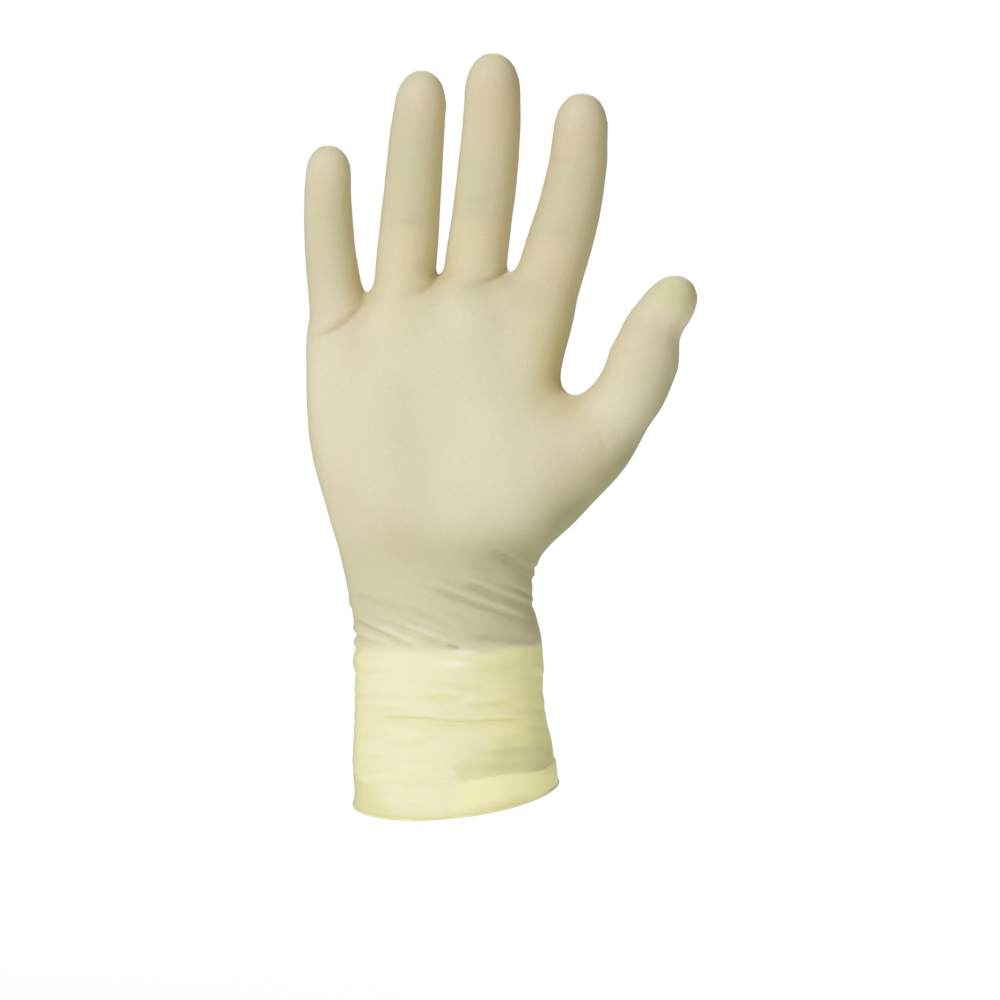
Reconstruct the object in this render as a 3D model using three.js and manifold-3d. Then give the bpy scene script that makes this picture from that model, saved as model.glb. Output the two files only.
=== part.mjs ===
// A cleanroom glove of dipped latex for the right side, in its filled-out form.
// The palm faces -Y, the fingers point up +Z and the thumb points to +X. Sizes are in millimetres.
// The origin is the centre of the mouth.
// The real glove is one film with a rolled rim, so it is one solid here, hollow to its fingertips.
import * as THREE from 'three';
import { mergeVertices } from 'three/addons/utils/BufferGeometryUtils.js';
import Module from 'manifold-3d';

const FILM = 1; // wall of the solid; a real film is about 0.2
const BEAD = 2.2; // diameter of the rolled rim
const BAND_PROUD = 0.6; // how far the doubled band at the mouth stands out of the cuff
const TRUNK_SIDES = 32;
const DIGIT_SIDES = 14;
const DIGIT_RINGS = 10;
const TIP_RINGS = 3;
const BEAD_SIDES = 6;

// The mouth and the upper edge of its band are planes that tilt: height = rise + x * slopeX + y * slopeY.
const MOUTH = { rise: 0, slopeX: 0.12, slopeY: 0.21 };
const BAND_TOP = { rise: 10.5, slopeX: 0.08, slopeY: 0.15 };

// Palm, wrist and cuff, as sections. square is the exponent of the section, where 2 is an ellipse.
// tilt is how much higher a section lies for each millimetre towards the thumb, as the fingers' roots do.
// lean is how far a point THUMB_SIDE.full from THUMB_SIDE.start comes forward, so that the palm cups a little.
const TRUNK = [
  { z: -10, left: -36.5, right: 36.6, front: -27.2, back: 27.2, square: 2.1, tilt: 0, lean: 0 },
  { z: 0, left: -36.4, right: 36.4, front: -26.8, back: 26.8, square: 2.1, tilt: 0, lean: 0 },
  { z: 14, left: -36.6, right: 35.8, front: -26.2, back: 26.2, square: 2.1, tilt: 0, lean: 0 },
  { z: 26, left: -36.3, right: 33.6, front: -25.6, back: 25.4, square: 2.1, tilt: 0, lean: 0 },
  { z: 38, left: -36, right: 31.9, front: -24.9, back: 24.4, square: 2.1, tilt: 0, lean: 0 },
  { z: 54, left: -36, right: 31.2, front: -23.7, back: 22.7, square: 2.1, tilt: 0, lean: 0 },
  { z: 62, left: -36.1, right: 29.8, front: -22.4, back: 21.6, square: 2.1, tilt: 0, lean: 0 },
  { z: 72, left: -37.9, right: 27.3, front: -21, back: 20.5, square: 2.1, tilt: 0, lean: 0.3 },
  { z: 84, left: -40.4, right: 28.7, front: -20, back: 19.5, square: 2.2, tilt: 0, lean: 1 },
  { z: 92, left: -42.2, right: 32, front: -19.5, back: 18.6, square: 2.2, tilt: 0, lean: 2 },
  { z: 100, left: -44.6, right: 40.6, front: -19, back: 18, square: 2.2, tilt: 0, lean: 3 },
  { z: 108, left: -46.9, right: 47.4, front: -18.5, back: 17.4, square: 2.2, tilt: 0, lean: 4 },
  { z: 115, left: -49.1, right: 52.8, front: -18, back: 17, square: 2.2, tilt: 0, lean: 5.5 },
  { z: 122, left: -51, right: 56.4, front: -17, back: 16.5, square: 2.2, tilt: 0, lean: 7 },
  { z: 129, left: -52.3, right: 56.6, front: -16, back: 16, square: 2.3, tilt: 0, lean: 7.5 },
  { z: 136, left: -53, right: 51, front: -15, back: 15.5, square: 2.3, tilt: 0, lean: 6.5 },
  { z: 143, left: -53.4, right: 43, front: -14.4, back: 15.4, square: 2.3, tilt: 0, lean: 4 },
  { z: 151, left: -53.5, right: 38.6, front: -14, back: 15, square: 2.3, tilt: 0, lean: 1 },
  { z: 164, left: -53.3, right: 38.6, front: -13.2, back: 14.4, square: 2.3, tilt: 0.02, lean: 0 },
  { z: 175, left: -52, right: 40, front: -12.3, back: 13.4, square: 2.2, tilt: 0.06, lean: 0 },
  { z: 182, left: -46.5, right: 38, front: -10.2, back: 11.4, square: 2.1, tilt: 0.1, lean: 0 },
  { z: 186.6, left: -39, right: 35, front: -7.8, back: 8.6, square: 2, tilt: 0.12, lean: 0 },
  { z: 189.4, left: -28, right: 29, front: -4, back: 4.6, square: 2, tilt: 0.13, lean: 0 },
];
const THUMB_SIDE = { start: 8, full: 46 };
// Heights of the trunk's rings: close together where the film gathers and at the knuckles.
const TRUNK_SPANS = [
  { from: -10, to: 89, step: 3 },
  { from: 96, to: 126, step: 8 },
  { from: 131, to: 151, step: 4 },
  { from: 158, to: 172, step: 7 },
  { from: 176, to: 189.4, step: 3 },
];

// Pads that fill the film out at the heels of the palm and the knuckles, or hollows where height is negative.
const PADS = [
  { x: 22, z: 108, reachX: 34, reachZ: 36, height: 5.5, side: -1 },
  { x: -34, z: 112, reachX: 26, reachZ: 40, height: 2.5, side: -1 },
  { x: -6, z: 138, reachX: 24, reachZ: 26, height: -1.6, side: -1 },
  { x: -8, z: 168, reachX: 46, reachZ: 16, height: 1, side: -1 },
  { x: -38, z: 170, reachX: 12, reachZ: 14, height: 1.2, side: 1 },
  { x: -16, z: 174, reachX: 12, reachZ: 15, height: 1.6, side: 1 },
  { x: 6, z: 175, reachX: 12, reachZ: 15, height: 1.6, side: 1 },
  { x: 27, z: 171, reachX: 12, reachZ: 15, height: 1.4, side: 1 },
];

// Each digit is a run of sections from inside the palm to the start of its rounded tip.
// across is the width seen from the palm, deep is the thickness, and tip is the height of the rounded end.
const DIGITS = {
  little: {
    tip: 6.6,
    rows: [
      { x: -38.6, y: 0.6, z: 150, across: 13, deep: 13 },
      { x: -41.6, y: 0.4, z: 168, across: 20.6, deep: 21.4 },
      { x: -43, y: 0, z: 182, across: 20.1, deep: 19.6 },
      { x: -44.9, y: -1, z: 198, across: 18.4, deep: 17.5 },
      { x: -45.7, y: -2.2, z: 214, across: 17.3, deep: 16.4 },
      { x: -45.5, y: -3.8, z: 224, across: 16.4, deep: 15 },
      { x: -45, y: -4.6, z: 229.2, across: 14.5, deep: 13 },
    ],
  },
  ring: {
    tip: 8.1,
    rows: [
      { x: -18.8, y: 0.8, z: 154, across: 14, deep: 15 },
      { x: -18.3, y: 0.6, z: 172, across: 22, deep: 25 },
      { x: -17.7, y: 0.4, z: 190, across: 22.2, deep: 22.6 },
      { x: -16.3, y: -0.6, z: 206, across: 21.6, deep: 20.2 },
      { x: -15.2, y: -1.4, z: 220, across: 20.6, deep: 19.4 },
      { x: -13.9, y: -3, z: 236, across: 20, deep: 18 },
      { x: -12.4, y: -4.6, z: 249, across: 18.3, deep: 16 },
      { x: -11.8, y: -5.2, z: 254.3, across: 16.5, deep: 14.2 },
    ],
  },
  middle: {
    tip: 8.3,
    rows: [
      { x: 3.8, y: 1, z: 154, across: 14, deep: 15 },
      { x: 5.6, y: 0.8, z: 173, across: 22, deep: 26 },
      { x: 7.4, y: 0.6, z: 192, across: 22.4, deep: 23.4 },
      { x: 9.5, y: -0.4, z: 208, across: 21.8, deep: 21.2 },
      { x: 11.3, y: -1.2, z: 222, across: 21.8, deep: 20.4 },
      { x: 13, y: -3, z: 240, across: 21.1, deep: 18.8 },
      { x: 13.8, y: -4.8, z: 254, across: 20, deep: 16.8 },
      { x: 13.3, y: -5.6, z: 260.5, across: 17.3, deep: 14.8 },
    ],
  },
  index: {
    tip: 7.8,
    rows: [
      { x: 24.4, y: 0.8, z: 146, across: 13, deep: 15 },
      { x: 29.3, y: 0.7, z: 167, across: 22.8, deep: 24.4 },
      { x: 33.4, y: 0.4, z: 186, across: 23.8, deep: 23.6 },
      { x: 37.6, y: -0.8, z: 200, across: 23.3, deep: 21.8 },
      { x: 41.2, y: -1.6, z: 213, across: 22.5, deep: 20.6 },
      { x: 44.2, y: -3, z: 228, across: 21.1, deep: 18.8 },
      { x: 45.6, y: -4.4, z: 240, across: 19.4, deep: 16.8 },
      { x: 45.8, y: -5, z: 246.5, across: 16.9, deep: 14.6 },
    ],
  },
  thumb: {
    tip: 8.4,
    rows: [
      { x: 8, y: -2, z: 94, across: 16, deep: 16 },
      { x: 22, y: -2.5, z: 105, across: 26, deep: 27 },
      { x: 36.7, y: -3.5, z: 118.3, across: 31.4, deep: 30 },
      { x: 49.8, y: -5.6, z: 130.2, across: 31.2, deep: 29 },
      { x: 59, y: -8.2, z: 140.9, across: 26.6, deep: 26 },
      { x: 64.1, y: -9.8, z: 148.8, across: 25.2, deep: 24 },
      { x: 67.8, y: -11, z: 158.5, across: 24.6, deep: 22.4 },
      { x: 70.4, y: -11.4, z: 167.4, across: 22, deep: 21 },
      { x: 74.4, y: -12, z: 174.8, across: 19.5, deep: 18.4 },
      { x: 78.1, y: -12.3, z: 179.4, across: 17.7, deep: 16.4 },
    ],
  },
};

// Gathers of the film at the wrist and on the cuff: one valley a row, or a ridge where depth is negative.
// It runs through x, z with the given slope, for reach to both sides, on the palm side (-1), the back (1) or both (0).
const GATHERS = [
  { x: -23.5, z: 60.6, slope: -0.54, reach: 19, width: 1.9, depth: 1, side: -1 },
  { x: -12.5, z: 59.8, slope: -0.42, reach: 16, width: 2, depth: 0.6, side: -1 },
  { x: 10, z: 70.2, slope: -0.36, reach: 25, width: 1.8, depth: 0.9, side: -1 },
  { x: 17, z: 73.6, slope: -0.41, reach: 18, width: 1.9, depth: 0.9, side: -1 },
  { x: 22, z: 86, slope: -0.57, reach: 14, width: 2.2, depth: 0.9, side: -1 },
  { x: 17, z: 57.6, slope: -0.07, reach: 20, width: 2.2, depth: 0.7, side: -1 },
  { x: -2, z: 50.5, slope: 0.03, reach: 60, width: 2.8, depth: -0.8, side: 0 },
  { x: -2, z: 29.4, slope: 0.01, reach: 36, width: 1.6, depth: 0.8, side: -1 },
  { x: -24, z: 34, slope: -0.08, reach: 14, width: 2, depth: 0.5, side: -1 },
  { x: 14, z: 36, slope: 0.08, reach: 16, width: 2.2, depth: 0.6, side: -1 },
  { x: 19, z: 19, slope: 0.06, reach: 14, width: 2.2, depth: 0.5, side: -1 },
  { x: -30, z: 78.6, slope: -0.04, reach: 18, width: 2.2, depth: 0.6, side: 1 },
  { x: -7, z: 72, slope: 0, reach: 22, width: 2.2, depth: 0.8, side: 1 },
  { x: 13, z: 64.6, slope: -0.05, reach: 24, width: 2.2, depth: 0.9, side: 1 },
  { x: -27, z: 59.6, slope: 0.04, reach: 20, width: 2.2, depth: 0.8, side: 1 },
  { x: 15, z: 39.6, slope: 0, reach: 26, width: 2.2, depth: 0.7, side: 1 },
  { x: -12, z: 28, slope: 0.02, reach: 36, width: 2.2, depth: 0.7, side: 1 },
];
const SIDE_FADE = 9; // depth over which a one-sided gather fades out as it passes to the other side

const wasm = await Module();
wasm.setup();

// Value of one column at a place along the rows: a cubic through the rows, with central slopes.
function smooth(rows, along, place, key) {
  const last = rows.length - 1;
  let i = 0;
  while (i < last - 1 && place > along(i + 1)) i += 1;
  const slope = (k) => {
    const before = Math.max(k - 1, 0);
    const after = Math.min(k + 1, last);
    return (rows[after][key] - rows[before][key]) / (along(after) - along(before));
  };
  const span = along(i + 1) - along(i);
  const t = (place - along(i)) / span;
  const rise = rows[i + 1][key] - rows[i][key];
  const bend = (1 - t) * (slope(i) * span - rise) - t * (slope(i + 1) * span - rise);
  return rows[i][key] + t * rise + t * (1 - t) * bend;
}

function planeHeight(plane, x, y) {
  return plane.rise + x * plane.slopeX + y * plane.slopeY;
}

// How far the gathers pull the film in at a point.
function gatherDepth(x, y, z) {
  let depth = 0;
  for (const g of GATHERS) {
    const off = (x - g.x) / g.reach;
    const fade = Math.max(0, 1 - off * off);
    const beyond = (z - g.z - g.slope * (x - g.x)) / g.width;
    const facing = g.side === 0 ? 1 : THREE.MathUtils.smoothstep(g.side * y, -SIDE_FADE, SIDE_FADE);
    depth += g.depth * fade * facing * Math.exp(-beyond * beyond);
  }
  return depth;
}

// How far the pads push the film out at a point.
function padHeight(x, y, z) {
  let height = 0;
  for (const pad of PADS) {
    const near = Math.max(0, 1 - ((x - pad.x) / pad.reachX) ** 2 - ((z - pad.z) / pad.reachZ) ** 2);
    height += pad.height * near * near * THREE.MathUtils.smoothstep(pad.side * y, 0, SIDE_FADE);
  }
  return height;
}

// One point of the trunk's ring at a height. inset moves it inwards, and a negative inset outwards.
function trunkPoint(z, angle, inset) {
  const at = (key) => smooth(TRUNK, (k) => TRUNK[k].z, z, key);
  const centreX = (at('left') + at('right')) / 2;
  const centreY = (at('front') + at('back')) / 2;
  const halfX = (at('right') - at('left')) / 2;
  const halfY = (at('back') - at('front')) / 2;
  const power = 2 / at('square');
  const c = Math.cos(angle);
  const s = Math.sin(angle);
  const unitX = Math.sign(c) * Math.abs(c) ** power;
  const unitY = Math.sign(s) * Math.abs(s) ** power;
  const x = centreX + halfX * unitX;
  const y = centreY + halfY * unitY;
  const out = new THREE.Vector2(unitX / halfX, unitY / halfY).normalize();
  const pull = inset + gatherDepth(x, y, z) - padHeight(x, y, z);
  const forward = at('lean') * Math.max(0, (x - THUMB_SIDE.start) / THUMB_SIDE.full) ** 2;
  return new THREE.Vector3(x - out.x * pull, y - out.y * pull - forward, z + x * at('tilt'));
}

function turn(side, sides) {
  return (side / sides) * Math.PI * 2;
}

function trunkRings(inset) {
  const rings = [];
  for (const span of TRUNK_SPANS) {
    const steps = Math.ceil((span.to - span.from) / span.step);
    for (let k = 0; k <= steps; k += 1) {
      const z = THREE.MathUtils.lerp(span.from, span.to, k / steps);
      rings.push(Array.from({ length: TRUNK_SIDES }, (_, i) => trunkPoint(z, turn(i, TRUNK_SIDES), inset)));
    }
  }
  const top = rings.at(-1);
  top.forEach((p) => {
    p.z -= inset;
  });
  return rings;
}

// Rings of a digit, square to its own line, from its root to the pole of its rounded tip.
function digitRings({ rows, tip }, inset) {
  const place = (t, key) => smooth(rows, (k) => k, t, key);
  const centre = (t) => new THREE.Vector3(place(t, 'x'), place(t, 'y'), place(t, 'z'));
  const end = rows.length - 1;
  const rings = [];
  const addRing = (t, lift, scale) => {
    const ahead = centre(t + 0.01).sub(centre(t - 0.01)).normalize();
    const sideways = new THREE.Vector3(0, 1, 0).cross(ahead).normalize();
    const outwards = ahead.clone().cross(sideways);
    const halfAcross = (place(t, 'across') / 2 - inset) * scale;
    const halfDeep = (place(t, 'deep') / 2 - inset) * scale;
    rings.push(
      Array.from({ length: DIGIT_SIDES }, (_, i) => {
        const angle = turn(i, DIGIT_SIDES);
        return centre(t)
          .addScaledVector(ahead, lift)
          .addScaledVector(sideways, halfAcross * Math.cos(angle))
          .addScaledVector(outwards, halfDeep * Math.sin(angle));
      })
    );
  };
  for (let k = 0; k < DIGIT_RINGS; k += 1) addRing((k / (DIGIT_RINGS - 1)) * end, 0, 1);
  for (let k = 1; k <= TIP_RINGS; k += 1) {
    const climb = (k / (TIP_RINGS + 0.4)) * (Math.PI / 2);
    addRing(end, (tip - inset) * Math.sin(climb), Math.cos(climb));
  }
  return rings;
}

// The path of the rolled rim: where the outer wall meets the mouth.
function rimPoint(angle) {
  let p = trunkPoint(MOUTH.rise, angle, 0);
  for (let k = 0; k < 4; k += 1) p = trunkPoint(planeHeight(MOUTH, p.x, p.y), angle, 0);
  return p;
}

function beadRings() {
  return Array.from({ length: TRUNK_SIDES }, (_, i) => {
    const centre = rimPoint(turn(i, TRUNK_SIDES));
    const ahead = rimPoint(turn(i + 0.5, TRUNK_SIDES)).sub(rimPoint(turn(i - 0.5, TRUNK_SIDES))).normalize();
    const outwards = ahead.clone().cross(new THREE.Vector3(0, 0, 1)).normalize();
    const downwards = ahead.clone().cross(outwards);
    return Array.from({ length: BEAD_SIDES }, (_unused, k) => {
      const angle = turn(k + 0.5, BEAD_SIDES);
      return centre
        .clone()
        .addScaledVector(outwards, (BEAD / 2) * Math.cos(angle))
        .addScaledVector(downwards, (BEAD / 2) * Math.sin(angle));
    });
  });
}

// Triangles between rings of equal count. A run of rings gets flat ends, and a loop of rings closes on itself.
function skin(rings, isLoop) {
  const sides = rings[0].length;
  const points = rings.flat();
  const faces = [];
  const spans = isLoop ? rings.length : rings.length - 1;
  for (let r = 0; r < spans; r += 1) {
    const next = (r + 1) % rings.length;
    for (let i = 0; i < sides; i += 1) {
      const j = (i + 1) % sides;
      const [a, b, c, d] = [r * sides + i, r * sides + j, next * sides + j, next * sides + i];
      faces.push(a, b, c, a, c, d);
    }
  }
  if (!isLoop) {
    for (const [ring, flip] of [[0, true], [rings.length - 1, false]]) {
      const middle = points.length;
      points.push(rings[ring].reduce((sum, p) => sum.add(p), new THREE.Vector3()).divideScalar(sides));
      for (let i = 0; i < sides; i += 1) {
        const [a, b] = [ring * sides + i, ring * sides + ((i + 1) % sides)];
        faces.push(...(flip ? [b, a, middle] : [a, b, middle]));
      }
    }
  }
  const geometry = new THREE.BufferGeometry().setFromPoints(points);
  geometry.setIndex(faces);
  return geometry;
}

function toSolid(geometry) {
  const bare = geometry.clone();
  bare.deleteAttribute('normal');
  bare.deleteAttribute('uv');
  const merged = mergeVertices(bare, 1e-4);
  return new wasm.Manifold(
    new wasm.Mesh({
      numProp: 3,
      vertProperties: merged.attributes.position.array,
      triVerts: new Uint32Array(merged.index.array),
    })
  );
}

function toGeometry(solid) {
  const { vertProperties, triVerts } = solid.getMesh();
  const geometry = new THREE.BufferGeometry();
  geometry.setAttribute('position', new THREE.BufferAttribute(vertProperties, 3));
  geometry.setIndex(new THREE.BufferAttribute(triVerts, 1));
  geometry.computeVertexNormals();
  return geometry;
}

// A block that fills the space below a tilted plane.
function spaceBelow(plane) {
  const size = 400;
  const up = new THREE.Vector3(-plane.slopeX, -plane.slopeY, 1).normalize();
  const block = new THREE.BoxGeometry(size, size, size);
  block.translate(0, 0, -size / 2);
  block.applyQuaternion(new THREE.Quaternion().setFromUnitVectors(new THREE.Vector3(0, 0, 1), up));
  block.translate(0, 0, plane.rise);
  return toSolid(block);
}

function handForm(inset) {
  return Object.values(DIGITS).reduce(
    (form, digit) => form.add(toSolid(skin(digitRings(digit, inset), false))),
    toSolid(skin(trunkRings(inset), false))
  );
}

function makeGlove() {
  const belowMouth = spaceBelow(MOUTH);
  const outside = handForm(0);
  const band = toSolid(skin(trunkRings(-BAND_PROUD), false)).intersect(spaceBelow(BAND_TOP));
  const bead = toSolid(skin(beadRings(), true));
  const walls = outside.add(band).subtract(belowMouth).add(bead);
  return walls.subtract(handForm(FILM));
}

const latex = new THREE.MeshStandardMaterial({ color: '#d9d1b0', roughness: 0.55, metalness: 0 });
const glove = new THREE.Mesh(toGeometry(makeGlove()), latex);
glove.name = 'glove';

const part = new THREE.Group();
part.add(glove);
export default part;
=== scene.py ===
"""A worn cleanroom glove of dipped latex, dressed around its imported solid.

The film is worked out as one smooth field around five digits and a palm, meshed on a fine grid, and then
creased where the wrist gathers it. Lengths in the tables are millimetres, and the meshes are metres.
"""

import math
from contextlib import contextmanager

import bmesh
import bpy
import numpy as np
from bpy.props import FloatProperty, FloatVectorProperty, IntProperty, PointerProperty
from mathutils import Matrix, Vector


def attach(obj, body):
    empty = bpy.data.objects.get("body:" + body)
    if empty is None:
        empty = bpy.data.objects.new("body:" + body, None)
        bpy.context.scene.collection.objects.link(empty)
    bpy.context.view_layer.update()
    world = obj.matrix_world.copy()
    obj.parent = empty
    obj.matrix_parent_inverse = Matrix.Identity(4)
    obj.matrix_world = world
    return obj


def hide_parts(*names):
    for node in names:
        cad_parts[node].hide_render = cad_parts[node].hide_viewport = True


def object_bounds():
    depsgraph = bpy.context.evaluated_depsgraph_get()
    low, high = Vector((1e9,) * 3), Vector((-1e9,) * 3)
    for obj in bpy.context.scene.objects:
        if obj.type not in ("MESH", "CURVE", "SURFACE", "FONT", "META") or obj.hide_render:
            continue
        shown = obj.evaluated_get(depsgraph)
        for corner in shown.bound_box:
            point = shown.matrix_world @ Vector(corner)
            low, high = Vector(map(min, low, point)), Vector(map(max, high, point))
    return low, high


bl_info = {
    "name": "Cleanroom Glove",
    "version": (1, 0, 0),
    "blender": (4, 5, 0),
    "location": "View3D > Sidebar > Glove",
    "description": "Makes a worn latex cleanroom glove with its rolled rim, and a plain studio",
    "category": "Add Mesh",
}

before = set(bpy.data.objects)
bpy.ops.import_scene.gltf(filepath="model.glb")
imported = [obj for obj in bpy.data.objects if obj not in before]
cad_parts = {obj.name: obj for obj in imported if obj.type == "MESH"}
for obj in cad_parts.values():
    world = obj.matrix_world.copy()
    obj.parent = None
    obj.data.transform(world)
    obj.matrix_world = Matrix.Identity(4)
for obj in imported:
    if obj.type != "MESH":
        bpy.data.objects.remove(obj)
CAD_LOW, CAD_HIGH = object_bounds()
MM = 0.001

# The palm, the wrist and the cuff as sections. square is the exponent of the section, where 2 is an ellipse.
# tilt is how much higher a section lies for each millimetre towards the thumb, and ARCH rounds that slope
# off. lean is how far the thumb's side of the section comes forward.
TRUNK_COLUMNS = ("z", "left", "right", "front", "back", "square", "tilt", "lean")
TRUNK = (
    (-16, -36.8, 37.6, -27.5, 27.5, 2.1, 0, 0),
    (0, -36.4, 37, -26.8, 26.8, 2.1, 0, 0),
    (14, -36.6, 35.8, -26.2, 26.2, 2.1, 0, 0),
    (26, -36.3, 33.6, -25.6, 25.4, 2.1, 0, 0),
    (38, -36, 31.9, -24.9, 24.4, 2.1, 0, 0),
    (54, -36, 31.6, -23.7, 22.7, 2.1, 0, 0),
    (62, -36.1, 30.3, -22.4, 21.6, 2.1, 0, 0),
    (72, -37.9, 27.6, -21, 20.5, 2.1, 0, 0.3),
    (84, -40.2, 28.6, -20, 19.5, 2.2, 0, 1),
    (92, -42.2, 32.8, -19.5, 18.6, 2.2, 0, 2),
    (100, -44.6, 40.9, -19, 18, 2.2, 0, 3),
    (108, -46.9, 47.4, -18.5, 17.4, 2.2, 0, 4),
    (115, -49.1, 52.8, -18, 17, 2.2, 0, 5.5),
    (122, -51, 56.4, -17, 16.5, 2.2, 0, 7),
    (129, -52.3, 56.6, -16, 16, 2.3, 0, 7.5),
    (136, -53, 51, -15, 15.5, 2.3, 0, 6.5),
    (143, -53.4, 42.5, -14.4, 15.4, 2.3, 0, 4),
    (151, -53.5, 37.7, -14, 15, 2.3, 0, 1),
    (164, -53.1, 37.2, -13.2, 14.4, 2.3, 0.02, 0),
    (175, -50.4, 38.4, -12.6, 13, 2.2, 0.05, 0),
    (181, -44.6, 36.4, -12.4, 10.6, 2.1, 0.09, 0),
    (187, -31, 30, -11, 7, 2, 0.104, 0),
)
TRUNK_STEP = 0.5
ARCH = 0.025
# The lean starts this far across and is whole LEAN_FULL further on, and the top is rounded over TOP_MERGE.
LEAN_START = 8
LEAN_FULL = 46
TOP_MERGE = 5

# Digits from inside the palm to the start of the rounded tip. across is the width and deep the thickness.
DIGIT_COLUMNS = ("x", "y", "z", "across", "deep")
DIGITS = {
    "little": (
        (-38.6, 0.6, 150, 13, 13),
        (-41.4, 0.4, 168, 19.6, 20),
        (-43, 0, 182, 19.6, 19),
        (-44.9, -1, 198, 18.3, 17.5),
        (-45.7, -2.2, 214, 17.3, 16.4),
        (-45.5, -3.6, 223.8, 16.5, 15),
    ),
    "ring": (
        (-18.8, 0.8, 154, 14, 15),
        (-18.3, 0.6, 172, 21.6, 23.6),
        (-17.8, 0.4, 190, 21.9, 22.2),
        (-16.4, -0.6, 206, 21.5, 20.2),
        (-15.2, -1.4, 220, 20.6, 19.4),
        (-13.9, -3, 236, 19.9, 18),
        (-12.7, -4.2, 247.4, 18.8, 16.4),
    ),
    "middle": (
        (3.8, 1, 154, 14, 15),
        (5.6, 0.8, 173, 21.8, 24.6),
        (7.4, 0.6, 192, 22.3, 22.8),
        (9.5, -0.4, 208, 21.8, 21.2),
        (11.3, -1.2, 222, 21.8, 20.4),
        (13, -3, 240, 21.1, 18.8),
        (13.4, -4.2, 248.6, 20.6, 17.8),
        (13.5, -4.6, 252.4, 20.3, 17.4),
    ),
    "index": (
        (24.4, 0.8, 146, 13, 15),
        (29.2, 0.7, 167, 22, 23),
        (33.4, 0.4, 186, 23.6, 22.6),
        (37.5, -0.8, 200, 23.7, 21.6),
        (41.2, -1.6, 213, 22.6, 20.6),
        (44.1, -3, 228, 21.1, 18.8),
        (44.8, -3.8, 236, 20.1, 17.6),
        (45.1, -4.1, 239.5, 19.7, 17.2),
    ),
    "thumb": (
        (8, -2, 94, 16, 16),
        (22, -2.5, 105, 26, 27),
        (36.7, -3.5, 118.3, 30.4, 29),
        (49.8, -5.6, 130.2, 30.4, 28),
        (58.8, -8.2, 141, 25.4, 25.6),
        (64.1, -9.8, 148.8, 25, 24),
        (67.8, -11, 158.5, 24.5, 22.4),
        (70.3, -11.4, 167.4, 21.5, 21),
        (73, -11.9, 172.6, 19.6, 19),
        (75, -12.1, 175.4, 19, 18.2),
    ),
}
# How long each rounded tip is, and then the points on each digit's line and the exponent of its tip's form.
TIPS = {"little": 11.8, "ring": 15, "middle": 16.2, "index": 14.7, "thumb": 14.4}
DIGIT_STEPS = 44
TIP_SQUARE = 2.2
# How far the film is rounded off between the fingers, at their roots and at the thumb's, and how far round a
# digit the grid is worked out.
FINGER_GAP_MERGE = 1.6
FINGER_MERGE = 7
THUMB_MERGE = 9
DIGIT_MARGIN = 12

# Pads that fill the film out, or hollows where height is negative. side -1 is the palm's side.
PAD_COLUMNS = ("x", "z", "reach_x", "reach_z", "height", "side")
PADS = (
    (22, 108, 34, 36, 5.5, -1),
    (-34, 112, 26, 40, 2.5, -1),
    (-6, 138, 24, 26, -1.6, -1),
    (-8, 168, 46, 16, 0.8, -1),
    (21, 183, 11, 11, 1.6, -1),
    (-38, 170, 12, 14, 1.4, 1),
    (-16, 174, 12, 15, 1.8, 1),
    (6, 175, 12, 15, 1.8, 1),
    (27, 171, 12, 15, 1.6, 1),
)
SIDE_FADE = 9

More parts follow.
